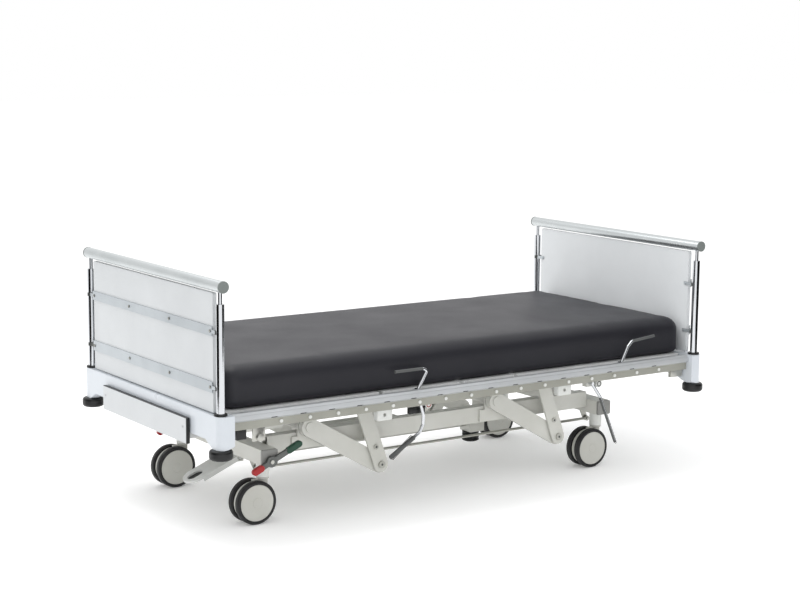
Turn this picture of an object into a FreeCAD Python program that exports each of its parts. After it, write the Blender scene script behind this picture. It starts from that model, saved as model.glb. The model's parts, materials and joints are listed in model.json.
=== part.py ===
import FreeCAD, Part
import math
import os

# Adjustable hospital bed, height lift at its lowest, all sections flat.
# Millimetres, +Z up, +X to the head end, origin on the floor under the middle of the bed.
V = FreeCAD.Vector

# ---- overall sizes ----
POST_SPAN_X = 2050.0      # end-board post to end-board post, along the bed
POST_SPAN_Y = 960.0       # end-board post to end-board post, across the bed
WHEEL_D = 150.0           # castor wheel diameter
ARM_LEN = 330.0           # lift arm, pivot to pivot
BOARD_H = 416.0           # top rail axis above the side rails

# ---- clearances ----
RUN_FIT = 0.06            # radial, shafts and pins that turn or slide
SEAT_FIT = 0.04           # radial, pieces that are pressed or clamped together
OPEN_PIVOT = 0.45         # radial, the pivot that closes the lift parallelogram
AIR = 1.0                 # between faces that pass each other

# ---- heights ----
Z_BEAM = WHEEL_D + 55.0   # underside of the cross beams
Z_PIVOT = Z_BEAM + 100.0  # chassis pivots of the lift arms
Z_RAIL = Z_PIVOT + 125.0  # top of the side rails

# ---- chassis ----
CROSS_W = 60.0
CROSS_H = 52.0
CROSS_HALF_Y = 330.0
CROSS_WALL = 3.0
CAP_T = 10.0
CAP_PLUG = 12.0
FOOT_BEAM_X = -763.0
HEAD_BEAM_X = 705.0
LONG_W = 40.0
LONG_H = 60.0
LONG_Y = 250.0
LONG_Z = Z_BEAM + 20.0
LONG_WALL = 3.0
TIE_H = 16.0
TIE_XS = (-477.0, -115.0, 356.0)
TIE_W = 30.0

# ---- castors ----
CASTER_Y = 290.0
CASTER_TRAIL = 40.0
WHEEL_W = 24.0
WHEEL_GAP = 22.0
TYRE_ROUND = 6.0
AXLE_R = 6.0
STEM_R = 14.0
HOUSING_R = 23.0
FORK_T = 16.0
FORK_DISC_R = 67.0
COLLAR_R = 22.0
COLLAR_H = 6.0

# ---- lift ----
ARM_REST = 30.0           # arms point this far down at the lowest height
ARM_SWING = 76.0          # from the lowest to the highest
ARM_W = 64.0
ARM_T = 24.0
ARM_Y = 282.0             # inner faces of the arms
FOOT_ARM_X = -585.0
HEAD_ARM_X = 215.0
TORQUE_R = 18.0
BRACKET_T = 8.0
CRANK_LEN = 110.0
CRANK_PIN_R = 8.0
CRANK_T = 8.0
YOKE_T = 16.0
YOKE_PLAY = 3.0
ARM_PIN_R = 8.0
PIN_HEAD_R = 13.0
PIN_HEAD_T = 6.0
HANGER_T = 8.0
HANGER_W = 56.0
HANGER_LEAN = 90.0        # how far the hanger leans over its height
BARREL_R = 28.0
BARREL_WALL = 6.0
BARREL_LEN = 370.0
ROD_R = 12.0

# ---- brake ----
BRAKE_Z = Z_BEAM + 13.0
BRAKE_SHAFT_R = 7.0
BRAKE_CRANK = 60.0
BRAKE_SWING = 50.0
BRAKE_LINK_Y = -200.0
PEDAL_TILT = 24.5
PEDAL_RED = 68.0
PEDAL_GREEN = 117.0
PEDAL_W = 18.0
PEDAL_T = 12.0
PAD_W = 22.0
PAD_T = 16.0

# ---- pump ----
PUMP_X = 326.0
PUMP_R = 26.0
BOOT_R = 33.0
BOOT_RIBS = 4
BOOT_STEP = 10.0
PUSH_R = 6.0
PUSH_DROP = 30.0
PUSH_PLAY = 2.0           # radial, the swinging pin in the rod's eye
PUMP_PIVOT_X = -690.0
PUMP_PIVOT_Z = Z_BEAM - 25.0
PUMP_TIP = (-216.0, -88.0)
PUMP_PEDAL_W = 100.0

# ---- mattress frame ----
RAIL_H = 56.0
RAIL_IN = 15.0            # post axis to the rail's inner face
RAIL_WEB = 15.0
RAIL_LOBE = 10.0
END_IN = 35.0             # post axis to the inner face of the end frame
END_OUT = 21.0
END_SIDE = 30.0
END_H = 85.0
END_WALL = 5.0
END_TOP = 7.0
END_ROUND = 28.0
LEG_DROP = 24.0
LEG_R = 28.0
BUMPER_R = 39.0
BUMPER_H = 34.0
POST_R = 14.0
POST_SEAT = 66.0          # how deep a post sits in its socket
POST_TOP = 360.0          # outer tube above the rails
POST_WALL = 2.0
INNER_R = 7.0
COLLAR_RING_H = 7.0
MEMBER_W = 40.0
MEMBER_H = 34.0
MEMBER_WALL = 3.0
HANGER_MEMBER_W = 60.0
MEMBER_DROP = 18.0        # rails' top to the members' top
STUD_R = 6.0
STUD_T = 4.5
STUD_N = 16
STUD_PITCH = 110.0
STUD_X0 = -803.0
SLOT_X0 = -830.0
SLOT_L = 24.0
SLOT_H = 4.0

# ---- sections ----
PANEL_T = 12.0
PANEL_SIDE = 40.0         # post axis to the panels' edge
BACK_HINGE_X = 195.0
THIGH_HINGE_X = -45.0
KNEE_X = -385.0
HINGE_R = 4.0
KNUCKLE_W = 18.0
HINGE_GAP = 8.0
HINGE_YS = (-330.0, 0.0, 330.0)
RETAINER_R = 5.5
RETAINER_BEND = 9.0

# ---- mattress ----
MATT_H = 140.0
MATT_SIDE = 40.0
MATT_END = 40.0
MATT_ROUND = 42.0
MATT_HEAD_GAP = 6.5
MATT_LIP = 2.0
BACK_CUT = 35.5
THIGH_CUT = 18.0

# ---- end boards ----
BOARD_T = 15.0
BOARD_SIDE = 35.0
BOARD_LIFT = 3.0
BOARD_TOP_GAP = 5.0
TOP_RAIL_R = 19.0
TOP_RAIL_OVER = 20.0
BAR_T = 4.0
BARS = ((69.0, 36.0), (253.0, 31.0))   # lower edge above the rails, height
CLIP_R = 17.5
CLIP_H = 12.0

# ---- levers ----
LEVER_R = 6.0
LEVER_IN = 40.0
GRIP_R = 8.0
LEVER_BEND = 14.0
LEG_LEVER_X = -223.0
LEG_LEVER_Z = Z_RAIL - 54.0
LEG_LEVER_PATH = ((15.0, -46.0), (13.0, -80.0), (-1.0, -107.0), (-121.0, -180.0))
BACK_LEVER_X = 554.0
BACK_LEVER_Z = Z_RAIL - 72.0
BACK_LEVER_PATH = ((41.0, -54.0), (57.0, -90.0), (121.0, -235.0))
GRIP_LEN = 118.0

# ---- linen shelf ----
SHELF_HALF_Y = 290.0
SHELF_H = 21.0
SHELF_WALL = 2.5
SHELF_LEN = 366.0
SHELF_DROP = 4.0
SHELF_FRONT_Y = 315.0
SHELF_FRONT_H = 86.0
SHELF_FRONT_T = 14.0
SHELF_FRONT_GAP = 3.0

# ---- places that follow from the sizes ----
KNUCKLE_R = PANEL_T / 2
Z_HINGE = Z_RAIL - KNUCKLE_R
POST_X = POST_SPAN_X / 2
POST_Y = POST_SPAN_Y / 2
RAIL_HALF_X = POST_X - END_IN
RAIL_Y0 = POST_Y - RAIL_IN
RAIL_Y1 = RAIL_Y0 + RAIL_WEB
PANEL_Y = POST_Y - PANEL_SIDE
LEVER_Y = POST_Y - LEVER_IN
END_Z0 = Z_RAIL - END_H
LEG_Z0 = END_Z0 - LEG_DROP
ARM_DX = ARM_LEN * math.cos(math.radians(ARM_REST))
ARM_DZ = ARM_LEN * math.sin(math.radians(ARM_REST))
LOW_Z = Z_PIVOT - ARM_DZ
HANGER_Y = ARM_Y + ARM_T + 4.0
HANGER_MEMBERS = (FOOT_ARM_X + ARM_DX - HANGER_LEAN, HEAD_ARM_X + ARM_DX - HANGER_LEAN)
MEMBER_Z1 = Z_RAIL - MEMBER_DROP
MEMBER_Z0 = MEMBER_Z1 - MEMBER_H
FIXED_MEMBERS = (-700.0, 75.0, 800.0)
CRANK_MID = math.radians(ARM_SWING / 2)
PUMP_CYL_Z = Z_PIVOT - CRANK_LEN + 15.0
MATT_Z = Z_RAIL


def box(x0, x1, y0, y1, z0, z1):
    """Block between two corners."""
    return Part.makeBox(x1 - x0, y1 - y0, z1 - z0, V(x0, y0, z0))


def bar_y(x, z, y0, y1, r):
    """Round bar along Y."""
    return Part.makeCylinder(r, y1 - y0, V(x, y0, z), V(0, 1, 0))


def bar_x(y, z, x0, x1, r):
    """Round bar along X."""
    return Part.makeCylinder(r, x1 - x0, V(x0, y, z), V(1, 0, 0))


def bar_z(x, y, z0, z1, r):
    """Round bar along Z."""
    return Part.makeCylinder(r, z1 - z0, V(x, y, z0), V(0, 0, 1))


def mirror_y(shape):
    """Copy on the other side of the bed."""
    return shape.mirror(V(0, 0, 0), V(0, 1, 0))


def mirror_x(shape):
    """Copy at the other end of the bed."""
    return shape.mirror(V(0, 0, 0), V(1, 0, 0))


def both_sides(shape):
    """The shape and its copy on the other side."""
    return [shape, mirror_y(shape)]


def join(shapes):
    """One solid from pieces that meet."""
    whole = shapes[0].fuse(shapes[1:]) if len(shapes) > 1 else shapes[0]
    return whole.removeSplitter()


def prism_xz(points, y0, y1):
    """Plate cut from an outline in the XZ plane."""
    ring = [V(x, y0, z) for x, z in points]
    face = Part.Face(Part.makePolygon(ring + ring[:1]))
    return face.extrude(V(0, y1 - y0, 0))


def prism_yz(points, x0, x1):
    """Bar of one section along X."""
    ring = [V(x0, y, z) for y, z in points]
    face = Part.Face(Part.makePolygon(ring + ring[:1]))
    return face.extrude(V(x1 - x0, 0, 0))


def link(a, b, width, y0, y1):
    """Flat link with round ends between two XZ points."""
    dx = b[0] - a[0]
    dz = b[1] - a[1]
    length = math.hypot(dx, dz)
    nx = -dz / length * width / 2
    nz = dx / length * width / 2
    ring = [(a[0] + nx, a[1] + nz), (b[0] + nx, b[1] + nz)]
    ring += [(b[0] - nx, b[1] - nz), (a[0] - nx, a[1] - nz)]
    ends = [bar_y(p[0], p[1], y0, y1, width / 2) for p in (a, b)]
    return join([prism_xz(ring, y0, y1)] + ends)


def box_tube_y(x, y0, y1, z0, width, height, wall):
    """Hollow rectangular beam across the bed."""
    outer = box(x - width / 2, x + width / 2, y0, y1, z0, z0 + height)
    inner = box(x - width / 2 + wall, x + width / 2 - wall, y0, y1, z0 + wall, z0 + height - wall)
    return outer.cut(inner)


def box_tube_x(y, x0, x1, z0, width, height, wall):
    """Hollow rectangular beam along the bed."""
    outer = box(x0, x1, y - width / 2, y + width / 2, z0, z0 + height)
    inner = box(x0, x1, y - width / 2 + wall, y + width / 2 - wall, z0 + wall, z0 + height - wall)
    return outer.cut(inner)


def bent_rod(points, r, bend):
    """Round rod along straight runs joined by tangent arcs."""
    pts = [V(*p) for p in points]
    edges = []
    start = pts[0]
    for before, corner, after in zip(pts, pts[1:], pts[2:]):
        u = (before - corner).normalize()
        w = (after - corner).normalize()
        half = u.getAngle(w) / 2
        reach = bend / math.tan(half)
        a = corner + u * reach
        b = corner + w * reach
        mid_dir = (u + w).normalize()
        centre = corner + mid_dir * (bend / math.sin(half))
        m = centre - mid_dir * bend
        edges.append(Part.LineSegment(start, a).toShape())
        edges.append(Part.Arc(a, m, b).toShape())
        start = b
    edges.append(Part.LineSegment(start, pts[-1]).toShape())
    path = Part.Wire(edges)
    ring = Part.Wire(Part.makeCircle(r, pts[0], pts[1] - pts[0]))
    rod = path.makePipeShell([ring], True, False)
    return rod


def disc_round(x, y, z0, z1, r, fillet):
    """Disc with rounded rims, axis along Z."""
    disc = bar_z(x, y, z0, z1, r)
    rims = [e for e in disc.Edges if abs(e.Length - 2 * math.pi * r) < 0.1]
    return disc.makeFillet(fillet, rims)


def save(name, shapes):
    """Write one node."""
    shape = shapes[0] if len(shapes) == 1 else Part.makeCompound(shapes)
    for solid in shape.Solids:
        if not solid.isValid() or solid.Volume <= 0:
            raise ValueError(name)
    shape.exportStep("parts/" + name + ".step")


# ---------------------------------------------------------------- chassis
def chassis():
    beam_z1 = LONG_Z + LONG_H
    x0 = FOOT_BEAM_X + CROSS_W / 2
    x1 = HEAD_BEAM_X - CROSS_W / 2
    long_beam = box_tube_x(LONG_Y, x0, x1, LONG_Z, LONG_W, LONG_H, LONG_WALL)
    save("chassis_long_beams", both_sides(long_beam))

    pieces = []
    for x in (FOOT_BEAM_X, HEAD_BEAM_X):
        beam = box_tube_y(x, -CROSS_HALF_Y, CROSS_HALF_Y, Z_BEAM, CROSS_W, CROSS_H, CROSS_WALL)
        slot_y = BRAKE_LINK_Y
        slot = box(x - 24, x + 24, slot_y - 8, slot_y + 8, Z_BEAM - 2, Z_BEAM + CROSS_WALL + 2)
        beam = beam.cut(slot)
        if x == FOOT_BEAM_X:
            beam = join([beam] + pump_pedal_cheeks())
        pieces.append(beam)
    tie_y = LONG_Y - LONG_W / 2
    for x in TIE_XS:
        z0 = PUMP_CYL_Z + BARREL_R + 2
        pieces.append(box(x - TIE_W / 2, x + TIE_W / 2, -tie_y, tie_y, z0, z0 + TIE_H))
    save("chassis_cross_beams", pieces)

    caps = []
    for x in (FOOT_BEAM_X, HEAD_BEAM_X):
        w = CROSS_W / 2
        y = CROSS_HALF_Y
        inner = w - CROSS_WALL - SEAT_FIT
        plug_z0 = Z_BEAM + CROSS_WALL + SEAT_FIT
        plug_z1 = Z_BEAM + CROSS_H - CROSS_WALL - SEAT_FIT
        plate = box(x - w, x + w, y, y + CAP_T, Z_BEAM, Z_BEAM + CROSS_H)
        corners = [e for e in plate.Edges if abs(e.Vertexes[0].Y - e.Vertexes[1].Y) > CAP_T / 2]
        plate = plate.makeFillet(5, corners)
        plug = box(x - inner, x + inner, y - CAP_PLUG, y, plug_z0, plug_z1)
        bore = bar_y(x, BRAKE_Z, y - CAP_PLUG - 1, y + CAP_T + 1, BRAKE_SHAFT_R + RUN_FIT)
        caps += both_sides(join([plate, plug]).cut(bore))
    save("beam_end_caps", caps)

    housings = []
    for x in (FOOT_BEAM_X, HEAD_BEAM_X):
        z0 = WHEEL_D + COLLAR_H + AIR
        tube = bar_z(x, CASTER_Y, z0, Z_BEAM, HOUSING_R)
        tube = tube.cut(bar_z(x, CASTER_Y, z0 - 1, Z_BEAM - 4, STEM_R + RUN_FIT))
        housings += both_sides(tube)
    save("caster_housings", housings)

    brackets = []
    y0 = LONG_Y + LONG_W / 2
    for x in (FOOT_ARM_X, HEAD_ARM_X):
        half = TORQUE_R + 15
        plate = box(x - half, x + half, y0, y0 + BRACKET_T, LONG_Z + 4, Z_PIVOT)
        foot = box(x - half - 22, x + half + 22, y0, y0 + BRACKET_T, LONG_Z + 4, beam_z1 - 12)
        eye = bar_y(x, Z_PIVOT, y0, y0 + BRACKET_T, half)
        bore = bar_y(x, Z_PIVOT, y0 - 1, y0 + BRACKET_T + 1, TORQUE_R + RUN_FIT)
        brackets += both_sides(join([plate, foot, eye]).cut(bore))
    save("arm_pivot_brackets", brackets)


def pump_pedal_cheeks():
    """Two cheeks under the foot beam that carry the pump pedal."""
    x = PUMP_PIVOT_X
    z = PUMP_PIVOT_Z
    y0 = PUMP_PEDAL_W / 2 - 14
    edge = FOOT_BEAM_X + CROSS_W / 2
    ring = [(edge - 46, Z_BEAM), (edge - 2, Z_BEAM), (x + 14, z + 10), (x + 14, z - 12)]
    ring += [(x - 12, z - 14), (edge - 46, Z_BEAM - 12)]
    cheek = prism_xz(ring, y0, y0 + 6)
    cheek = cheek.cut(bar_y(x, z, y0 - 1, y0 + 7, 8 + RUN_FIT))
    return both_sides(cheek)


def lift_cylinder():
    z = PUMP_CYL_Z
    x0 = TIE_XS[0] + TIE_W / 2 + 12
    x1 = x0 + BARREL_LEN
    tie_z1 = z + BARREL_R + 2 + TIE_H
    barrel = bar_x(0, z, x0, x1, BARREL_R)
    nose = bar_x(0, z, x1 - 18, x1, BARREL_R + 3)
    lug = box(x0 - 12, x0 + 12, -24, 24, z - 20, tie_z1)
    saddle_x = TIE_XS[1]
    saddle = box(saddle_x - 14, saddle_x + 14, -18, 18, z + 8, z + BARREL_R + 2)
    body = join([barrel, nose, lug, saddle])
    body = body.cut(bar_x(0, z, x0 + 12, x1 - 12, BARREL_R - BARREL_WALL))
    body = body.cut(bar_x(0, z, x1 - 13, x1 + 1, ROD_R + RUN_FIT))
    save("lift_cylinder_barrel", [body])

    pin_x = HEAD_ARM_X - CRANK_LEN * math.sin(CRANK_MID)
    pin_low = Z_PIVOT - CRANK_LEN
    pin_high = Z_PIVOT - CRANK_LEN * math.cos(CRANK_MID)
    rod = bar_x(0, z, x0 + 120, pin_x - 26, ROD_R)
    head = box(pin_x - 30, pin_x + 30, -YOKE_T / 2, YOKE_T / 2, pin_low - 26, pin_high + 26)
    half = CRANK_PIN_R + YOKE_PLAY
    slot = box(pin_x - half, pin_x + half, -YOKE_T, YOKE_T, pin_low - 14, pin_high + 14)
    save("lift_cylinder_rod", [join([rod, head]).cut(slot)])


def pump():
    z_push = PUMP_PIVOT_Z - PUSH_DROP
    tie = TIE_XS[2]
    tie_z0 = PUMP_CYL_Z + BARREL_R + 2
    x0 = PUMP_X - PUMP_R
    body = box(x0, tie + 10, -34, 34, z_push - 26, z_push + 14)
    neck = box(tie - 4, tie + 10, -28, 28, z_push + 10, tie_z0)
    shell = join([body, neck])
    shell = shell.cut(bar_x(0, z_push, x0 - 1, tie, PUSH_R + RUN_FIT))
    ring = [(0, z_push - 26)]
    top = z_push - 26
    for i in range(BOOT_RIBS):
        ring.append((BOOT_R, top - i * BOOT_STEP))
        ring.append((BOOT_R, top - (i + 0.55) * BOOT_STEP))
        ring.append((BOOT_R - 6, top - (i + 0.7) * BOOT_STEP))
        ring.append((BOOT_R - 6, top - (i + 0.9) * BOOT_STEP))
    ring.append((0, top - BOOT_RIBS * BOOT_STEP))
    wire = Part.makePolygon([V(PUMP_X + r, 0, z) for r, z in ring] + [V(PUMP_X, 0, z_push - 26)])
    boot = Part.Face(wire).revolve(V(PUMP_X, 0, 0), V(0, 0, 1), 360)
    save("hydraulic_pump", [shell, boot])

    x = PUMP_PIVOT_X
    z = PUMP_PIVOT_Z
    tip = (x + PUMP_TIP[0], z + PUMP_TIP[1])
    slope = math.degrees(math.atan2(-PUMP_TIP[1], -PUMP_TIP[0]))
    reach = math.hypot(*PUMP_TIP)
    half = PUMP_PEDAL_W / 2
    plate = box(-reach + half, -40, -half, half, -4, 4)
    nose = bar_z(-reach + half, 0, -4, 4, half)
    neck = box(-60, 0, -half + 22, half - 22, -8, 8)
    flanges = []
    for side in (-1, 1):
        y = side * (half - 2.5)
        flanges.append(box(-reach + half, -40, y - 2.5, y + 2.5, -14, 0))
    slot = [bar_z(-reach + 34, 0, -6, 6, 20), bar_z(-reach + 54, 0, -6, 6, 20)]
    slot.append(box(-reach + 34, -reach + 54, -20, 20, -6, 6))
    pedal = join([plate, nose, neck] + flanges).cut(join(slot))
    pedal.rotate(V(0, 0, 0), V(0, 1, 0), -slope)
    pedal.translate(V(x, 0, z))
    shaft = bar_y(x, z, -half + 6, half - 6, 8)
    hub = bar_y(x, z, -half + 16, half - 16, 13)
    crank = link((x, z), (x, z - PUSH_DROP), 16, 8, 14)
    pin = bar_y(x, z - PUSH_DROP, -8, 14, 5)
    hub_slot = box(x - 16, x + 16, -8.5, 7.2, z - PUSH_DROP - 12, z - 14.5)
    whole = join([pedal, shaft, hub, crank]).cut(hub_slot)
    save("pump_pedal", [join([whole, pin])])

    rod = bar_x(0, z_push, x + 8, x0 + 20, PUSH_R)
    fork = box(x - 13, x + 13, -7, 6.5, z_push - 12, z_push + 12)
    rod = join([rod, fork]).cut(bar_y(x, z_push, -9, 9, 5 + PUSH_PLAY))
    save("pump_push_rod", [rod])


# ---------------------------------------------------------------- lift arms
def arm_pair(x):
    """Two arms on one torque tube."""
    low = (x + ARM_DX, LOW_Z)
    arm = link((x, Z_PIVOT), low, ARM_W, ARM_Y, ARM_Y + ARM_T)
    pin_gap = RUN_FIT if x == HEAD_ARM_X else OPEN_PIVOT
    arm = arm.cut(bar_y(low[0], low[1], ARM_Y - 1, ARM_Y + ARM_T + 1, ARM_PIN_R + pin_gap))
    cap = bar_y(x, Z_PIVOT, ARM_Y + ARM_T, ARM_Y + ARM_T + 4, TORQUE_R)
    tube = bar_y(x, Z_PIVOT, -ARM_Y, ARM_Y, TORQUE_R)
    return [arm, mirror_y(arm), cap, mirror_y(cap), tube]


def lift_arms():
    save("lift_arm_foot", [join(arm_pair(FOOT_ARM_X))])
    pieces = arm_pair(HEAD_ARM_X)
    pin_x = HEAD_ARM_X - CRANK_LEN * math.sin(CRANK_MID)
    pin_z = Z_PIVOT - CRANK_LEN * math.cos(CRANK_MID)
    y0 = YOKE_T / 2 + AIR
    cheek = link((HEAD_ARM_X, Z_PIVOT), (pin_x, pin_z), 38, y0, y0 + CRANK_T)
    pieces += both_sides(cheek)
    pieces.append(bar_y(pin_x, pin_z, -y0 - CRANK_T, y0 + CRANK_T, CRANK_PIN_R))
    save("lift_arm_head", [join(pieces)])


def hangers():
    pieces = []
    for x in (FOOT_ARM_X, HEAD_ARM_X):
        low = (x + ARM_DX, LOW_Z)
        top = (low[0] - HANGER_LEAN, MEMBER_Z0 + 8)
        y1 = HANGER_Y + HANGER_T
        plate = link(low, top, HANGER_W, HANGER_Y, y1)
        plate = plate.cut(box(top[0] - 60, top[0] + 60, HANGER_Y - 1, y1 + 1, MEMBER_Z0, MEMBER_Z0 + 60))
        pin = bar_y(low[0], low[1], ARM_Y - 3, y1, ARM_PIN_R)
        head = bar_y(low[0], low[1], y1, y1 + PIN_HEAD_T, PIN_HEAD_R)
        keeper = bar_y(low[0], low[1], ARM_Y - 5, ARM_Y - 1, PIN_HEAD_R)
        share = 0.27
        bolt_x = low[0] + share * (top[0] - low[0])
        bolt_z = low[1] + share * (top[1] - low[1])
        bolt = bar_y(bolt_x, bolt_z, y1, y1 + 5, 9)
        pieces += both_sides(join([plate, pin, head, keeper, bolt]))
    save("arm_hangers", pieces)


# ---------------------------------------------------------------- brake
def brake_crank(x):
    """Crank and pin that hang from a brake shaft."""
    lean = math.radians(BRAKE_SWING / 2)
    pin = (x + BRAKE_CRANK * math.sin(lean), BRAKE_Z - BRAKE_CRANK * math.cos(lean))
    y = BRAKE_LINK_Y
    arm = link((x, BRAKE_Z), pin, 20, y - 4, y + 4)
    return [arm, bar_y(pin[0], pin[1], y - 18, y + 4, 5)], pin


def brake():
    cap_y = CROSS_HALF_Y + CAP_T
    pedal_y = cap_y + 3
    crank, foot_pin = brake_crank(FOOT_BEAM_X)
    end = pedal_y + PEDAL_T + 3
    shaft = bar_y(FOOT_BEAM_X, BRAKE_Z, -end, end, BRAKE_SHAFT_R)
    save("brake_shaft_foot", [join([shaft] + crank)])

    crank, head_pin = brake_crank(HEAD_BEAM_X)
    shaft = bar_y(HEAD_BEAM_X, BRAKE_Z, -cap_y - 2, cap_y + 2, BRAKE_SHAFT_R)
    save("brake_shaft_head", [join([shaft] + crank)])

    y = BRAKE_LINK_Y - 4 - AIR - 5
    rod = bar_x(y, foot_pin[1], foot_pin[0], head_pin[0], 5)
    eyes = [bar_y(p[0], p[1], y - 3.5, y + 3.5, 10) for p in (foot_pin, head_pin)]
    rod = join([rod] + eyes)
    for p, play in ((foot_pin, RUN_FIT), (head_pin, OPEN_PIVOT)):
        rod = rod.cut(bar_y(p[0], p[1], y - 8, y + 8, 5 + play))
    save("brake_link_rod", [rod])

    c = math.cos(math.radians(PEDAL_TILT))
    s = math.sin(math.radians(PEDAL_TILT))
    at = lambda d: (FOOT_BEAM_X + d * c, BRAKE_Z + d * s)
    arm = link(at(-PEDAL_RED), at(PEDAL_GREEN), PEDAL_W, pedal_y, pedal_y + PEDAL_T)
    hub = bar_y(FOOT_BEAM_X, BRAKE_Z, pedal_y, pedal_y + PEDAL_T, 19)
    bore = bar_y(FOOT_BEAM_X, BRAKE_Z, pedal_y - 1, pedal_y + PEDAL_T + 1, BRAKE_SHAFT_R + SEAT_FIT)
    rocker = join([arm, hub]).cut(bore)
    save("brake_pedals", both_sides(rocker))

    pads = []
    spans = ((-PEDAL_RED, -PEDAL_RED + 24), (PEDAL_GREEN - 42, PEDAL_GREEN))
    y0 = cap_y + 1
    for a, b in spans:
        pad = link(at(a), at(b), PAD_W, y0, y0 + PAD_T)
        rims = [e for e in pad.Edges if abs(e.Vertexes[0].Y - e.Vertexes[-1].Y) < 0.01]
        pad = pad.makeFillet(2.0, rims).cut(arm)
        pads += both_sides(pad)
    save("brake_pads", pads)


# ---------------------------------------------------------------- castors
def casters():
    """Four swivel castors, each with two wheels beside a central web."""
    wheel_r = WHEEL_D / 2
    names = ((FOOT_BEAM_X, -1, "fr"), (FOOT_BEAM_X, 1, "fl"), (HEAD_BEAM_X, -1, "hr"), (HEAD_BEAM_X, 1, "hl"))
    for x, side, tag in names:
        y = side * CASTER_Y
        ax = x - CASTER_TRAIL
        disc = bar_y(ax, wheel_r, y - FORK_T / 2, y + FORK_T / 2, FORK_DISC_R)
        web = box(ax, x + 16, y - FORK_T / 2, y + FORK_T / 2, wheel_r, WHEEL_D)
        collar = bar_z(x, y, WHEEL_D, WHEEL_D + COLLAR_H, COLLAR_R)
        stem = bar_z(x, y, WHEEL_D, Z_BEAM - 8, STEM_R)
        reach = WHEEL_GAP / 2 + WHEEL_W - 3
        axle = bar_y(ax, wheel_r, y - reach, y + reach, AXLE_R)
        save("caster_fork_" + tag, [join([disc, web, collar, stem, axle])])
        for hand, word in ((-1, "a"), (1, "b")):
            y0 = WHEEL_GAP / 2
            y1 = y0 + WHEEL_W
            tyre = bar_y(ax, wheel_r, y0, y1, wheel_r)
            rims = [e for e in tyre.Edges if abs(e.Length - 2 * math.pi * wheel_r) < 0.1]
            tyre = tyre.makeFillet(TYRE_ROUND, rims)
            tyre = tyre.cut(bar_y(ax, wheel_r, y0 - 1, y1 - 2, AXLE_R + RUN_FIT))
            if hand < 0:
                tyre = mirror_y(tyre)
            tyre.translate(V(0, y, 0))
            save("wheel_" + tag + "_" + word, [tyre])


# ---------------------------------------------------------------- mattress frame
def side_rails():
    z0 = Z_RAIL - RAIL_H
    y0 = RAIL_Y0
    y1 = RAIL_Y1
    y2 = y1 + RAIL_LOBE
    ring = [(y0, z0), (y1, z0), (y1, z0 + 26), (y2, z0 + 33), (y2, Z_RAIL - 8), (y2 - 7, Z_RAIL), (y0, Z_RAIL)]
    rail = prism_yz(ring, -RAIL_HALF_X, RAIL_HALF_X)
    slots = []
    for i in range(STUD_N):
        x = SLOT_X0 + i * STUD_PITCH
        if abs(x) + SLOT_L < RAIL_HALF_X:
            z = z0 + 31
            slots.append(box(x - SLOT_L / 2, x + SLOT_L / 2, y1, y2 + 1, z - SLOT_H / 2, z + SLOT_H / 2))
    rail = rail.cut(slots)
    save("side_rails", both_sides(rail))

    studs = []
    for i in range(STUD_N):
        x = STUD_X0 + i * STUD_PITCH
        if abs(x) + STUD_R < RAIL_HALF_X:
            studs += both_sides(bar_y(x, z0 + 14, y1, y1 + STUD_T, STUD_R))
    save("rail_studs", studs)


def end_frame():
    """End frame at the head, with sockets for the board posts."""
    x0 = POST_X - END_IN
    x1 = POST_X + END_OUT
    y1 = POST_Y + END_SIDE
    blank = box(x0, x1, -y1, y1, LEG_Z0, Z_RAIL)
    edges = []
    for e in blank.Edges:
        a = e.Vertexes[0]
        b = e.Vertexes[1]
        if abs(a.Z - b.Z) > END_H and a.X > POST_X:
            edges.append(e)
    blank = blank.makeFillet(END_ROUND, edges)
    upper = blank.common(box(x0 - 1, x1 + 1, -y1 - 1, y1 + 1, END_Z0, Z_RAIL + 1))
    hollow_y = POST_Y - LEG_R - 12
    hollow = box(x0 + END_WALL, x1 - END_WALL, -hollow_y, hollow_y, END_Z0 - 1, Z_RAIL - END_TOP)
    pieces = [upper.cut(hollow)]
    for side in (-1, 1):
        flare = Part.makeCone(LEG_R, LEG_R + 40, LEG_DROP, V(POST_X, side * POST_Y, LEG_Z0), V(0, 0, 1))
        flare = flare.common(blank)
        pieces.append(flare)
    frame = join(pieces)
    for side in (-1, 1):
        z0 = Z_RAIL - POST_SEAT
        frame = frame.cut(bar_z(POST_X, side * POST_Y, z0, Z_RAIL + 1, POST_R + RUN_FIT))
    return frame


def end_frames():
    frame = end_frame()
    save("end_frame_head", [frame])
    save("end_frame_foot", [mirror_x(frame)])
    bumpers = []
    collars = []
    for x in (-POST_X, POST_X):
        bumper = disc_round(x, POST_Y, LEG_Z0 - BUMPER_H, LEG_Z0, BUMPER_R, 11)
        bumpers += both_sides(bumper)
        ring = bar_z(x, POST_Y, Z_RAIL, Z_RAIL + COLLAR_RING_H, POST_R + 8)
        ring = ring.cut(bar_z(x, POST_Y, Z_RAIL - 1, Z_RAIL + COLLAR_RING_H + 1, POST_R + 0.5))
        collars += both_sides(ring)
    save("corner_bumpers", bumpers)
    save("socket_collars", collars)


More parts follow.
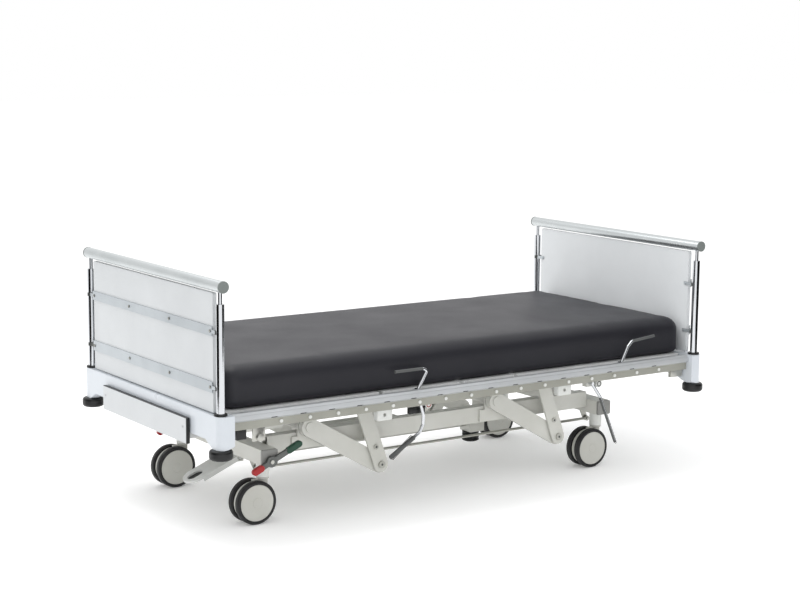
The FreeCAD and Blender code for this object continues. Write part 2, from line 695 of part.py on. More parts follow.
def cross_members():
    y1 = RAIL_Y0
    pieces = []
    pad_y = PANEL_Y - 60
    for x in FIXED_MEMBERS:
        member = box_tube_y(x, -y1, y1, MEMBER_Z0, MEMBER_W, MEMBER_H, MEMBER_WALL)
        pads = []
        for side in (-1, 1):
            y = side * pad_y
            pads.append(box(x - 12, x + 12, y - 20, y + 20, MEMBER_Z1, Z_RAIL - PANEL_T - AIR))
        pieces.append(join([member] + pads) if x != FIXED_MEMBERS[1] else member)
    for x in HANGER_MEMBERS:
        pieces.append(box_tube_y(x, -y1, y1, MEMBER_Z0, HANGER_MEMBER_W, MEMBER_H, MEMBER_WALL))
    for x, z in ((LEG_LEVER_X, LEG_LEVER_Z), (BACK_LEVER_X, BACK_LEVER_Z)):
        member_x = x + 16 + MEMBER_W / 2
        member = box_tube_y(member_x, -y1, y1, MEMBER_Z0, MEMBER_W, MEMBER_H, MEMBER_WALL)
        y_out = LEVER_Y - LEVER_R - 8
        block = box(x - 14, x + 16, y_out - 24, y_out, z - 14, max(z + 14, MEMBER_Z0 + 12))
        block = block.cut(bar_y(x, z, y_out - 30, y_out + 5, LEVER_R + RUN_FIT))
        pieces.append(join([member] + both_sides(block)))
    pieces += both_sides(shelf_runner())
    save("frame_cross_members", pieces)


def shelf_runner():
    """Angle that carries one side of the linen shelf."""
    z1 = END_Z0 - SHELF_DROP - SHELF_H
    y = SHELF_HALF_Y + AIR + 1
    x0 = -RAIL_HALF_X
    x1 = FIXED_MEMBERS[0] + 10
    web = box(x0, x1, y, y + 4, z1 - 4, MEMBER_Z0)
    lip = box(x0, x1, y - 14, y + 4, z1 - 4, z1 - 1)
    return join([web, lip])


def seat_panel():
    x0 = THIGH_HINGE_X + HINGE_GAP
    x1 = BACK_HINGE_X - HINGE_GAP
    panel = box(x0, x1, -PANEL_Y, PANEL_Y, Z_RAIL - PANEL_T, Z_RAIL)
    x = FIXED_MEMBERS[1]
    feet = box(x - 15, x + 15, -PANEL_Y + 30, PANEL_Y - 30, MEMBER_Z1, Z_RAIL - PANEL_T)
    pieces = [panel, feet]
    pieces += pin_knuckles(BACK_HINGE_X, -1) + pin_knuckles(THIGH_HINGE_X, 1)
    save("seat_panel", [join(pieces)])


def pin_knuckles(x, way):
    """Knuckles with a hinge pin, on the panel that lies on this side."""
    pieces = []
    for y in HINGE_YS:
        for side in (-1, 1):
            a = y + side * (KNUCKLE_W / 2 + 1)
            b = y + side * (KNUCKLE_W / 2 + 21)
            lo = min(a, b)
            hi = max(a, b)
            pieces.append(bar_y(x, Z_HINGE, lo, hi, KNUCKLE_R))
            ex = x + way * (HINGE_GAP + 2)
            pieces.append(box(min(x, ex), max(x, ex), lo, hi, Z_HINGE - 3, Z_HINGE + 3))
        half = KNUCKLE_W / 2 + 21
        pieces.append(bar_y(x, Z_HINGE, y - half, y + half, HINGE_R))
    return pieces


def bored_knuckles(x, way):
    """Knuckles that turn on the hinge pins, and the bores through them."""
    solids = []
    bores = []
    for y in HINGE_YS:
        lo = y - KNUCKLE_W / 2
        hi = y + KNUCKLE_W / 2
        solids.append(bar_y(x, Z_HINGE, lo, hi, KNUCKLE_R))
        ex = x + way * (HINGE_GAP + 2)
        solids.append(box(min(x, ex), max(x, ex), lo, hi, Z_HINGE - 3, Z_HINGE + 3))
        bores.append(bar_y(x, Z_HINGE, lo - 1, hi + 1, HINGE_R + RUN_FIT))
    return solids, bores


def section(x0, x1, pinned, bored):
    """One lying panel between two X values, with its knuckles."""
    panel = box(x0, x1, -PANEL_Y, PANEL_Y, Z_RAIL - PANEL_T, Z_RAIL)
    pieces = [panel]
    for x, way in pinned:
        pieces += pin_knuckles(x, way)
    holes = []
    for x, way in bored:
        solids, bores = bored_knuckles(x, way)
        pieces += solids
        holes += bores
    whole = join(pieces)
    return whole.cut(holes) if holes else whole


def sections():
    back_end = RAIL_HALF_X - 5
    back = section(BACK_HINGE_X + HINGE_GAP, back_end, [], [(BACK_HINGE_X, 1)])
    save("backrest_panel", [back])
    thigh = section(KNEE_X + HINGE_GAP, THIGH_HINGE_X - HINGE_GAP, [(KNEE_X, 1)], [(THIGH_HINGE_X, -1)])
    save("thigh_panel", [thigh])
    calf = section(-back_end, KNEE_X - HINGE_GAP, [], [(KNEE_X, -1)])
    save("calf_panel", [calf])

    y0 = PANEL_Y
    y1 = PANEL_Y + 15
    z = Z_HINGE
    path = [(681, y0, z), (681, y1, z), (712, y1, z + 60), (732, y1, z + 79), (842, y1, z + 90)]
    save("backrest_retainers", both_sides(bent_rod(path, RETAINER_R, RETAINER_BEND)))
    path = [(-244, y0, z), (-244, y1, z), (-206, y1, z + 64), (-222, y1, z + 73), (-339, y1, z + 73)]
    save("thigh_retainers", both_sides(bent_rod(path, RETAINER_R, 7.5)))


def mattress():
    x1 = RAIL_HALF_X - 5
    y1 = POST_Y - MATT_SIDE
    z1 = MATT_Z + MATT_H
    head_x = POST_X - BOARD_T / 2 - MATT_HEAD_GAP
    base = box(-x1, head_x, -y1, y1, MATT_Z, z1)
    upright = []
    for e in base.Edges:
        if abs(e.Vertexes[0].Z - e.Vertexes[1].Z) > 1:
            upright.append(e)
    base = base.makeFillet(MATT_ROUND + 12, upright)
    top = []
    for e in base.Edges:
        if min(v.Z for v in e.Vertexes) > z1 - 0.01:
            top.append(e)
    base = base.makeFillet(MATT_ROUND, top)
    base = base.cut(box(x1 + 0.5, head_x + 5, -y1 - 5, y1 + 5, MATT_Z - 5, MATT_Z + MATT_LIP))
    low = MATT_Z - 2
    high = z1 + 2
    t_back = math.tan(math.radians(BACK_CUT))
    t_thigh = math.tan(math.radians(THIGH_CUT))
    lean = lambda x, t, z: x + t * (z - Z_HINGE)
    far = 3 * POST_X
    cuts = {
        "mattress_back": [(lean(BACK_HINGE_X, t_back, low), low), (far, low), (far, high),
                          (lean(BACK_HINGE_X, t_back, high), high)],
        "mattress_seat": [(lean(THIGH_HINGE_X, t_thigh, low), low), (lean(BACK_HINGE_X, -t_back, low), low),
                          (lean(BACK_HINGE_X, -t_back, high), high), (lean(THIGH_HINGE_X, t_thigh, high), high)],
        "mattress_thigh": [(KNEE_X + AIR, low), (lean(THIGH_HINGE_X, -t_thigh, low), low),
                           (lean(THIGH_HINGE_X, -t_thigh, high), high), (KNEE_X + AIR, high)],
        "mattress_calf": [(-far, low), (KNEE_X - AIR, low), (KNEE_X - AIR, high), (-far, high)],
    }
    for name, ring in cuts.items():
        save(name, [base.common(prism_xz(ring, -y1 - 5, y1 + 5))])


# ---------------------------------------------------------------- end boards
def end_boards():
    """Both boards; the second is the first turned to the other end."""
    rail_z = Z_RAIL + BOARD_H
    posts = []
    bars = []
    for side in (-1, 1):
        y = side * POST_Y
        tube = bar_z(POST_X, y, Z_RAIL - POST_SEAT + AIR, Z_RAIL + POST_TOP, POST_R)
        plug = bar_z(POST_X, y, Z_RAIL + POST_TOP - 60, rail_z, INNER_R)
        bore = bar_z(POST_X, y, Z_RAIL - POST_SEAT, Z_RAIL + POST_TOP - 20, POST_R - POST_WALL)
        posts.append(join([tube.cut(bore), plug]))
    half = POST_Y + TOP_RAIL_OVER
    top = bar_y(POST_X, rail_z, -half, half, TOP_RAIL_R)
    caps = [bar_y(POST_X, rail_z, half, half + 4, TOP_RAIL_R + 0.6)]
    caps.append(mirror_y(caps[0]))
    top = join([top] + caps)
    for side in (-1, 1):
        hole_z0 = rail_z - TOP_RAIL_R - 1
        top = top.cut(bar_z(POST_X, side * POST_Y, hole_z0, rail_z, INNER_R + SEAT_FIT))
    by = POST_Y - BOARD_SIDE
    bt = BOARD_T / 2
    panel_top = rail_z - TOP_RAIL_R - BOARD_TOP_GAP
    panel = box(POST_X - bt, POST_X + bt, -by, by, Z_RAIL + BOARD_LIFT, panel_top)
    corners = [e for e in panel.Edges if abs(e.Vertexes[0].X - e.Vertexes[1].X) > bt]
    panel = panel.makeFillet(6, corners)
    for dz, h in BARS:
        z0 = Z_RAIL + dz
        zc = z0 + h / 2
        bar = box(POST_X + bt, POST_X + bt + BAR_T, -by, by, z0, z0 + h)
        pieces = [bar]
        for y in (-by + 12, -150, 150, by - 12):
            pieces.append(Part.makeCylinder(5, 2.2, V(POST_X + bt + BAR_T, y, zc), V(1, 0, 0)))
        for side in (-1, 1):
            ring = bar_z(POST_X, side * POST_Y, zc - CLIP_H / 2, zc + CLIP_H / 2, CLIP_R)
            ya = side * (by - 20)
            yb = side * POST_Y
            x0 = POST_X + bt
            tab = box(x0, x0 + BAR_T, min(ya, yb), max(ya, yb), zc - CLIP_H / 2, zc + CLIP_H / 2)
            lug = box(POST_X - bt - 3, POST_X - bt, min(ya, yb), max(ya, yb), zc - CLIP_H / 2, zc + CLIP_H / 2)
            dot = Part.makeCylinder(4.5, 2, V(POST_X - bt - 3, side * (by - 12), zc), V(-1, 0, 0))
            pieces += [ring, tab, lug, dot]
        whole = join(pieces)
        for side in (-1, 1):
            whole = whole.cut(bar_z(POST_X, side * POST_Y, z0 - 20, z0 + h + 20, POST_R + SEAT_FIT))
            ya = side * (POST_Y - 3)
            yb = side * (POST_Y + 30)
            whole = whole.cut(box(POST_X - 30, POST_X + 30, min(ya, yb), max(ya, yb), z0 - 20, z0 + h + 20))
        bars.append(whole)
    turn = {"head": lambda s: s, "foot": mirror_x}
    for end, move in turn.items():
        save(end + "_posts", [move(s) for s in posts])
        save(end + "_top_rail", [move(top)])
        save(end + "_panel", [move(panel)])
        save(end + "_cross_bars", [move(s) for s in bars])


# ---------------------------------------------------------------- levers, shelf, brackets
def lever(name, x, z, steps):
    """Two hand levers on one shaft across the bed."""
    end = LEVER_Y + LEVER_R
    pieces = [bar_y(x, z, -end, end, LEVER_R)]
    pts = [(x, LEVER_Y, z)] + [(x + dx, LEVER_Y, z + dz) for dx, dz in steps]
    rod = bent_rod(pts, LEVER_R, LEVER_BEND)
    last = V(*pts[-1])
    way = (last - V(*pts[-2])).normalize()
    start = last - way * (GRIP_LEN - 3)
    grip = Part.makeCylinder(GRIP_R, GRIP_LEN, start, way)
    rims = [e for e in grip.Edges if abs(e.Length - 2 * math.pi * GRIP_R) < 0.1]
    grip = grip.makeFillet(4, rims)
    arm = join([rod, grip])
    save(name, [join(pieces + both_sides(arm))])


def shelf():
    z0 = END_Z0 - SHELF_DROP - SHELF_H
    z1 = z0 + SHELF_H
    x0 = -POST_X - END_OUT
    x1 = x0 + SHELF_LEN
    y = SHELF_HALF_Y
    w = SHELF_WALL
    tray = box(x0 - SHELF_FRONT_GAP, x1, -y, y, z0, z1)
    tray = tray.cut(box(x0 + w, x1 - w, -y + w, y - w, z0 + w, z1 + 1))
    save("shelf_tray", [tray])
    fx = x0 - SHELF_FRONT_GAP
    top = z0 - 10 + SHELF_FRONT_H
    front = box(fx - SHELF_FRONT_T, fx, -SHELF_FRONT_Y, SHELF_FRONT_Y, z0 - 10, top)
    rims = [e for e in front.Edges if max(v.X for v in e.Vertexes) < fx - SHELF_FRONT_T + 0.01]
    front = front.makeFillet(3, rims)
    screws = []
    for side in (-1, 1):
        centre = V(fx - SHELF_FRONT_T, side * (SHELF_FRONT_Y - 22), z0 + 44)
        screws.append(Part.makeCylinder(4.5, 1.0, centre, V(-1, 0, 0)))
    save("shelf_front", [join([front] + screws)])


def rail_fittings():
    """Socket blocks, roller, stop block and straps under the side rails."""
    z1 = Z_RAIL - RAIL_H + 12
    pieces = []
    for x in (HANGER_MEMBERS[0] + 4, HANGER_MEMBERS[1] - 7):
        block = box(x - 30, x + 30, RAIL_Y0 - 24, RAIL_Y0, z1 - 50, MEMBER_Z0)
        edges = [e for e in block.Edges if abs(e.Vertexes[0].Y - e.Vertexes[1].Y) > 20]
        block = block.makeFillet(4, edges)
        pieces += both_sides(block.cut(bar_y(x, z1 - 31, RAIL_Y0 - 30, RAIL_Y0 + 5, 6.25)))
    stop = box(-POST_X + 66, -POST_X + 102, RAIL_Y0 - 20, RAIL_Y0, z1 - 48, z1)
    pieces += both_sides(stop)
    plate = box(-POST_X + 126, -POST_X + 172, RAIL_Y0 - 8, RAIL_Y0, z1 - 60, z1)
    roller = bar_y(-POST_X + 149, z1 - 46, RAIL_Y0, RAIL_Y0 + 14, 13)
    pieces += both_sides(join([plate, roller]))
    strap = box(POST_X - 100, POST_X - 42, RAIL_Y0 - 14, RAIL_Y0, z1 - 40, z1)
    pieces += both_sides(strap)
    for x, z in ((LEG_LEVER_X + 45, LEG_LEVER_Z - 15), (BACK_LEVER_X + 44, BACK_LEVER_Z - 7)):
        y0 = LEVER_Y - LEVER_R - 16
        drop = box(x - 12, x + 12, y0 - 8, y0, z - 12, MEMBER_Z0)
        knob = bar_y(x, z, y0, y0 + 12, 14)
        pieces += both_sides(join([drop, knob]))
    x, z, y0 = LEG_LEVER_X, LEG_LEVER_Z, LEVER_Y - LEVER_R - 16
    pieces += both_sides(box(x - 33, x + 33, y0 - 8, y0 + 8, z - 42, z - 20))
    save("accessory_brackets", pieces)


os.makedirs("parts", exist_ok=True)
chassis()
lift_cylinder()
pump()
lift_arms()
hangers()
brake()
casters()
side_rails()
end_frames()
cross_members()
seat_panel()
sections()
mattress()
end_boards()
lever("leg_lever", LEG_LEVER_X, LEG_LEVER_Z, LEG_LEVER_PATH)
lever("backrest_lever", BACK_LEVER_X, BACK_LEVER_Z, BACK_LEVER_PATH)
shelf()
rail_fittings()
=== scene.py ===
import json
import logging
import math
from dataclasses import dataclass, field, replace
from enum import Enum

import bmesh
import bpy
from mathutils import Matrix, Vector

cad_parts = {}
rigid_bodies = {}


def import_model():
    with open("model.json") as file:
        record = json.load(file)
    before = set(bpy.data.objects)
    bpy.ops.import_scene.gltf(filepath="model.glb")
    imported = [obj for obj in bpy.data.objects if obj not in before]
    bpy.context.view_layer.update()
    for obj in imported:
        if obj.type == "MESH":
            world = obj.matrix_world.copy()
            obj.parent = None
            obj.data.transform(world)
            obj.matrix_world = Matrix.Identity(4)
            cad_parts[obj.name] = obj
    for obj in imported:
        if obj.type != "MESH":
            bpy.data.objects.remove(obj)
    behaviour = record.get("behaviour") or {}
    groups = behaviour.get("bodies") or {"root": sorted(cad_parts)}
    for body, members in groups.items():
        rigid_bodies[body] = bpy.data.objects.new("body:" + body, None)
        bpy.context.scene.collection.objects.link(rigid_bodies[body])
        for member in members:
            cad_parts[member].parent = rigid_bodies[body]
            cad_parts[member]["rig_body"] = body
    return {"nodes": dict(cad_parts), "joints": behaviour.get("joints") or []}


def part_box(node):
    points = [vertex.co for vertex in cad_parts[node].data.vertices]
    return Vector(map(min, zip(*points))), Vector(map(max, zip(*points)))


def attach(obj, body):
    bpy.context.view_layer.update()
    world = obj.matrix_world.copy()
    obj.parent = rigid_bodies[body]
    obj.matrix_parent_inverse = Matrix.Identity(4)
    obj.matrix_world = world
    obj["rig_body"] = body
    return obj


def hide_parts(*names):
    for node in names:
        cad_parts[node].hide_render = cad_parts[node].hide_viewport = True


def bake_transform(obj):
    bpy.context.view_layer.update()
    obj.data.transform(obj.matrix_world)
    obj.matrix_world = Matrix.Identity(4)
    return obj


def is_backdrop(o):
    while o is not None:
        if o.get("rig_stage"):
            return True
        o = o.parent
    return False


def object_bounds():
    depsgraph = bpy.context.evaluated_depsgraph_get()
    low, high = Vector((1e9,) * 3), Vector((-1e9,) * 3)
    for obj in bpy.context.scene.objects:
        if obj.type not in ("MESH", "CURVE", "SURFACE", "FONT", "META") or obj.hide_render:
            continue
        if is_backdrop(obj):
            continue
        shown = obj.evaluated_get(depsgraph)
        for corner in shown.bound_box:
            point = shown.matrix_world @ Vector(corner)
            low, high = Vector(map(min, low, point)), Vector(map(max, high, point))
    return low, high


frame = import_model()

LOG = logging.getLogger("hospital_bed")
MM = 0.001
SIDES = (-1.0, 1.0)
PART_SHARP_DEG = 50.0  # edges of hard parts sharper than this stay sharp
BEVEL_FROM_DEG = 38.0  # edges sharper than this are broken
Point = tuple[float, float, float]
Band = tuple[float, float]
Thing = bpy.types.Object
Tree = bpy.types.NodeTree
Socket = bpy.types.NodeSocket
Sockets = bpy.types.bpy_prop_collection


# ---- colour and node helpers
def linear(code: str) -> tuple[float, float, float, float]:
    """Turn an sRGB hex colour into linear light.

    Args:
        code: six hex digits, with or without a leading hash.

    Returns:
        Red, green, blue and an alpha of one.
    """
    digits = code.lstrip("#")
    parts = [int(digits[i:i + 2], 16) / 255 for i in (0, 2, 4)]
    light = [c / 12.92 if c <= 0.04045 else ((c + 0.055) / 1.055) ** 2.4 for c in parts]
    return (light[0], light[1], light[2], 1.0)


def add(tree: Tree, kind: str, settings: dict | None = None,
        inputs: dict | None = None) -> bpy.types.Node:
    """Add one node with its settings, and fill or link its inputs.

    Args:
        tree: the tree that gets the node.
        kind: Blender's type name for the node.
        settings: attribute names and values.
        inputs: socket names or indices, each with a value or an output socket.

    Returns:
        The new node.
    """
    made = tree.nodes.new(kind)
    for key, value in (settings or {}).items():
        setattr(made, key, value)
    for key, value in (inputs or {}).items():
        socket = made.inputs[key]
        if isinstance(value, bpy.types.NodeSocket):
            tree.links.new(value, socket)
        else:
            socket.default_value = value
    return made


# ---- finishes
class Grain(Enum):
    """How the fine relief of a surface was made."""

    PEEL = "sprayed and baked, a soft orange peel"
    BRUSH = "drawn or ground along one direction"
    SPARK = "moulded against an eroded tool, fine pebbles"
    WEAVE = "woven cloth under a thin coat"
    POLISH = "polished, with faint wiping marks"


@dataclass(frozen=True)
class Finish:
    """One real material and the way its surface was made.

    The shade drifts a little towards the deep colour over a few hand widths,
    the roughness drifts with it, and the grain gives a relief of its true size.
    """

    name: str
    shade: str
    deep: str
    roughness: float
    grain: Grain
    grain_mm: float
    relief_mm: float
    metallic: float = 0.0
    drift_mm: float = 220.0
    rough_drift: float = 0.05
    stretch: Point = (1.0, 1.0, 1.0)
    ior: float = 1.5
    coat: float = 0.0
    coat_roughness: float = 0.1

    def build(self) -> bpy.types.Material:
        """Make the material, or return it if it was made before."""
        if self.name in bpy.data.materials:
            return bpy.data.materials[self.name]
        made = bpy.data.materials.new(self.name)
        made.use_nodes = True
        tree = made.node_tree
        tree.nodes.clear()
        place = add(tree, "ShaderNodeTexCoord").outputs["Object"]
        drift = self.drift(tree, place)
        colour = add(tree, "ShaderNodeMix", {"data_type": "RGBA"},
                     {0: drift, 6: linear(self.shade), 7: linear(self.deep)})
        rough = add(tree, "ShaderNodeMapRange", None, {
            "Value": drift, "To Min": self.roughness - self.rough_drift,
            "To Max": self.roughness + self.rough_drift})
        bump = add(tree, "ShaderNodeBump", None, {
            "Height": self.height(tree, place), "Strength": 1.0, "Distance": self.relief_mm * MM})
        shader = add(tree, "ShaderNodeBsdfPrincipled", None, {
            "Base Color": colour.outputs[2], "Roughness": rough.outputs[0],
            "Normal": bump.outputs[0], "Metallic": self.metallic, "IOR": self.ior,
            "Coat Weight": self.coat, "Coat Roughness": self.coat_roughness})
        add(tree, "ShaderNodeOutputMaterial", None, {"Surface": shader.outputs[0]})
        made.diffuse_color = linear(self.shade)
        return made

    def drift(self, tree: Tree, place: Socket) -> Socket:
        """Slow change over the surface, from nought to one."""
        cloud = add(tree, "ShaderNodeTexNoise", None, {
            "Vector": place, "Scale": 1.0 / (self.drift_mm * MM), "Detail": 5.0, "Roughness": 0.6})
        spread = add(tree, "ShaderNodeMapRange", None, {
            "Value": cloud.outputs[0], "From Min": 0.32, "From Max": 0.68})
        return spread.outputs[0]

    def height(self, tree: Tree, place: Socket) -> Socket:
        """Fine relief of the surface.

        Args:
            tree: the material's tree.
            place: the position, in metres.

        Returns:
            The height socket, from nought to about one.
        """
        scaled = add(tree, "ShaderNodeMapping", None,
                     {"Vector": place, "Scale": self.stretch}).outputs[0]
        per_m = 1.0 / (self.grain_mm * MM)
        if self.grain is Grain.SPARK:
            cells = add(tree, "ShaderNodeTexVoronoi", {"feature": "SMOOTH_F1"},
                        {"Vector": scaled, "Scale": per_m, "Smoothness": 0.6})
            return cells.outputs["Distance"]
        if self.grain is Grain.WEAVE:
            return self.weave(tree, scaled, per_m)
        fine = add(tree, "ShaderNodeTexNoise", None, {
            "Vector": scaled, "Scale": per_m, "Detail": 2.0 if self.grain is Grain.PEEL else 5.0,
            "Roughness": 0.5})
        return fine.outputs[0]

    def weave(self, tree: Tree, place: Socket, per_m: float) -> Socket:
        """Threads that cross, seen on faces of any direction.

        Args:
            tree: the material's tree.
            place: the position, in metres.
            per_m: threads in a metre.

        Returns:
            The height socket.
        """
        total = None
        for axis in ("X", "Y", "Z"):
            threads = add(tree, "ShaderNodeTexWave", {"bands_direction": axis}, {
                "Vector": place, "Scale": per_m / 2, "Distortion": 1.2, "Detail": 1.0,
                "Detail Scale": 0.5})
            if total is None:
                total = threads.outputs["Fac"]
            else:
                total = add(tree, "ShaderNodeMath", {"operation": "MULTIPLY_ADD"},
                            {0: threads.outputs["Fac"], 1: 0.5, 2: total}).outputs[0]
        soft = add(tree, "ShaderNodeTexNoise", None,
                   {"Vector": place, "Scale": 90.0, "Detail": 3.0})
        return add(tree, "ShaderNodeMath", {"operation": "MULTIPLY_ADD"},
                   {0: soft.outputs[0], 1: 1.5, 2: total}).outputs[0]


# Drawn lines along one axis of the bed: the grain is pulled out fifty times.
ALONG_X = (0.02, 1.0, 1.0)
ALONG_Y = (1.0, 0.02, 1.0)

# White polyester powder coat, baked: even, half gloss, a faint peel.
FRAME_WHITE = Finish("powder_coat_pure_white", "#D3D8DE", "#CDD3D9", 0.30, Grain.PEEL, 2.2, 0.012,
                     coat=0.25)
# The chassis and lift are sprayed in a warmer, duller grey white.
LIFT_GREY = Finish("powder_coat_silk_grey", "#D3D3CD", "#C9C9C2", 0.42, Grain.PEEL, 1.8, 0.015)
# Small fittings have a neutral white coat of their own.
FITTING_WHITE = Finish("powder_coat_traffic_white", "#DEDFDC", "#D3D5D1", 0.38, Grain.PEEL, 1.6,
                       0.012)
# Natural anodised aluminium: drawn lines along the profile and a cool, satin shine.
RAIL_METAL = Finish("anodised_aluminium_profile", "#C4C7CA", "#B8BBBD", 0.40, Grain.BRUSH, 0.6,
                    0.006, metallic=0.4, stretch=ALONG_X, rough_drift=0.04)
BAR_METAL = Finish("anodised_aluminium_flat_bar", "#C1C7CB", "#B7BDC1", 0.40, Grain.BRUSH, 0.6,
                   0.006, metallic=0.55, stretch=ALONG_Y)
TOP_METAL = Finish("anodised_aluminium_tube", "#C9CDCE", "#BFC4C5", 0.30, Grain.BRUSH, 0.6,
                   0.005, metallic=0.85, stretch=ALONG_Y)
# Lower outer flank of the same profile, duller, and painted darker and warmer than its lobe as
# painted shade under the lobe.
RAIL_FLANK_PAINTED_SHADE = Finish("anodised_aluminium_etched_flank", "#A3A39A", "#98988F", 0.48, Grain.BRUSH,
                    0.8, 0.008, metallic=0.2, stretch=ALONG_X)
# Bright chrome plate on steel tube: a mirror with only a little haze.
CHROME = Finish("bright_chrome_plate", "#DADCDF", "#CFD2D6", 0.09, Grain.POLISH, 3.0, 0.002,
                metallic=1.0, rough_drift=0.02)
# Clear zinc plate on screws, pins and rods.
ZINC = Finish("zinc_plated_steel", "#C5C5BF", "#B2B2AB", 0.38, Grain.BRUSH, 0.8, 0.006,
              metallic=0.9, stretch=(0.05, 1.0, 1.0))
# Steel darkened in an oxide bath.
STEEL_DARK = Finish("blackened_steel", "#6E706E", "#5C5E5C", 0.42, Grain.BRUSH, 0.8, 0.008,
                    metallic=0.8)
# Silver powder coat with a little metal flake.
PEDAL_SILVER = Finish("powder_coat_silver", "#DEDFDD", "#D2D3D1", 0.40, Grain.PEEL, 1.4, 0.02,
                      metallic=0.2)
# High-pressure laminate boards: flat colour with a fine satin texture.
LAMINATE = Finish("high_pressure_laminate_light_grey", "#D0D3D5", "#CACDCF", 0.42, Grain.SPARK,
                  0.9, 0.006)
# The head board is the same laminate painted one shade lighter: painted light on its inner face,
# which the dark cover takes light from.
LAMINATE_HEAD_PAINTED_LIGHT = replace(LAMINATE, name=LAMINATE.name + "_head", shade="#DDE0E2", deep="#D7DADC")
# Solid laminate sheet under the mattress, pale and matt.
PLATFORM = Finish("compact_laminate_pale_grey", "#DCDEDE", "#D2D4D4", 0.5, Grain.SPARK, 0.9, 0.008)
# Injection-moulded caps on the beams and on the top rails.
ABS_GREY = Finish("abs_moulded_mid_grey", "#8F8F8C", "#858582", 0.48, Grain.SPARK, 0.8, 0.02)
ABS_CAP = Finish("abs_moulded_slate", "#7C8280", "#727876", 0.42, Grain.SPARK, 0.8, 0.02)
# Castors: moulded bodies and forks with a cast tread.
WHEEL_COVER = Finish("polyamide_moulded_pale_grey", "#C6C6C0", "#BDBDB6", 0.46, Grain.SPARK, 1.0,
                     0.02)
TYRE_BLACK = Finish("polyurethane_tread_black", "#18181A", "#121214", 0.50, Grain.SPARK, 1.1, 0.03)
# Soft black rubber of the bumpers and the pump's boot, and harder nylon of the collars.
# The same black rubber is painted shade in the pump pedal's opening.
RUBBER_AND_PAINTED_SHADE = Finish("moulded_rubber_black", "#0F1113", "#0A0B0D", 0.40, Grain.SPARK, 1.2, 0.03)
# The black nylon is also painted shade, on the shelf front's edges and on the rail slot floors.
NYLON_BLACK_AND_PAINTED_SHADE = Finish("nylon_black", "#0E0F11", "#0A0B0C", 0.38, Grain.SPARK, 0.9, 0.02)
# Sleeves dipped in soft vinyl over the lever ends. The same grey is painted reflection on the chrome
# retainers.
GRIP_GREY_AND_PAINTED_REFLECTION = Finish("pvc_dipped_grip_grey", "#5C5E5E", "#505252", 0.5, Grain.SPARK, 1.0, 0.03)
# Brake pads, coloured through: red locks, green frees.
PAD_RED = Finish("moulded_plastic_signal_red", "#AC1418", "#980F13", 0.36, Grain.SPARK, 0.9, 0.015)
PAD_GREEN = Finish("moulded_plastic_moss_green", "#0B422E", "#083626", 0.36, Grain.SPARK, 0.9,
                   0.015)
# Vacuum-formed sheet of the linen tray.
TRAY_GREY = Finish("polystyrene_formed_pale_grey", "#D2D3D2", "#C8C9C8", 0.45, Grain.SPARK, 1.0,
                   0.01)
# Polyurethane-coated knit over foam: matt charcoal with a low sheen. Real threads are about
# 0.4 mm apart, which is too fine to see here, so they are drawn at 2.2 mm.
COVER = Finish("polyurethane_coated_knit_charcoal", "#28282E", "#24242A", 0.46, Grain.WEAVE, 2.2,
               0.05, drift_mm=300.0, rough_drift=0.04, ior=1.37)


# ---- mesh helpers
def put(name: str, data: bpy.types.ID) -> Thing:
    """Link new data to the scene as an object at the origin."""
    made = bpy.data.objects.new(name, data)
    bpy.context.scene.collection.objects.link(made)
    return made


def object_from(name: str, verts: list, faces: list, smooth_deg: float = 35.0) -> Thing:
    """Make a mesh object at the origin, with outward faces and soft curves.

    Args:
        name: the piece's name.
        verts: points in metres.
        faces: index lists.
        smooth_deg: edges sharper than this stay sharp.

    Returns:
        The object, linked to the scene.
    """
    mesh = bpy.data.meshes.new(name)
    mesh.from_pydata([tuple(v) for v in verts], [], faces)
    soften(mesh, smooth_deg, outward=True)
    return put(name, mesh)


def soften(mesh: bpy.types.Mesh, smooth_deg: float, outward: bool = False) -> None:
    """Shade a mesh smooth except over its sharp edges.

    Args:
        mesh: the mesh, changed in place.
        smooth_deg: edges sharper than this stay sharp.
        outward: weld the mesh and turn its faces outwards first.
    """
    work = bmesh.new()
    work.from_mesh(mesh)
    if outward:
        bmesh.ops.remove_doubles(work, verts=work.verts, dist=1e-6)
        bmesh.ops.recalc_face_normals(work, faces=work.faces)
    limit = math.radians(smooth_deg)
    for edge in work.edges:
        edge.smooth = len(edge.link_faces) == 2 and edge.calc_face_angle(0.0) < limit
    for face in work.faces:
        face.smooth = True
    work.to_mesh(mesh)
    work.free()


def flatten(thing: Thing) -> None:
    """Apply every modifier of an object to its mesh."""
    graph = bpy.context.evaluated_depsgraph_get()
    mesh = bpy.data.meshes.new_from_object(thing.evaluated_get(graph))
    thing.modifiers.clear()
    thing.data = mesh


def break_edges(thing: Thing, width: float, segments: int) -> None:
    """Round a hard part's edges by a small radius, as made parts have.

    Args:
        thing: the part.
        width: width of the rounding in metres; nought leaves the edges as they are.
        segments: steps across the rounding.
    """
    if width > 0:
        bevel = thing.modifiers.new("edge", "BEVEL")
        bevel.width = width
        bevel.segments = segments
        bevel.limit_method = "ANGLE"
        bevel.angle_limit = math.radians(BEVEL_FROM_DEG)
        flatten(thing)
    soften(thing.data, PART_SHARP_DEG)


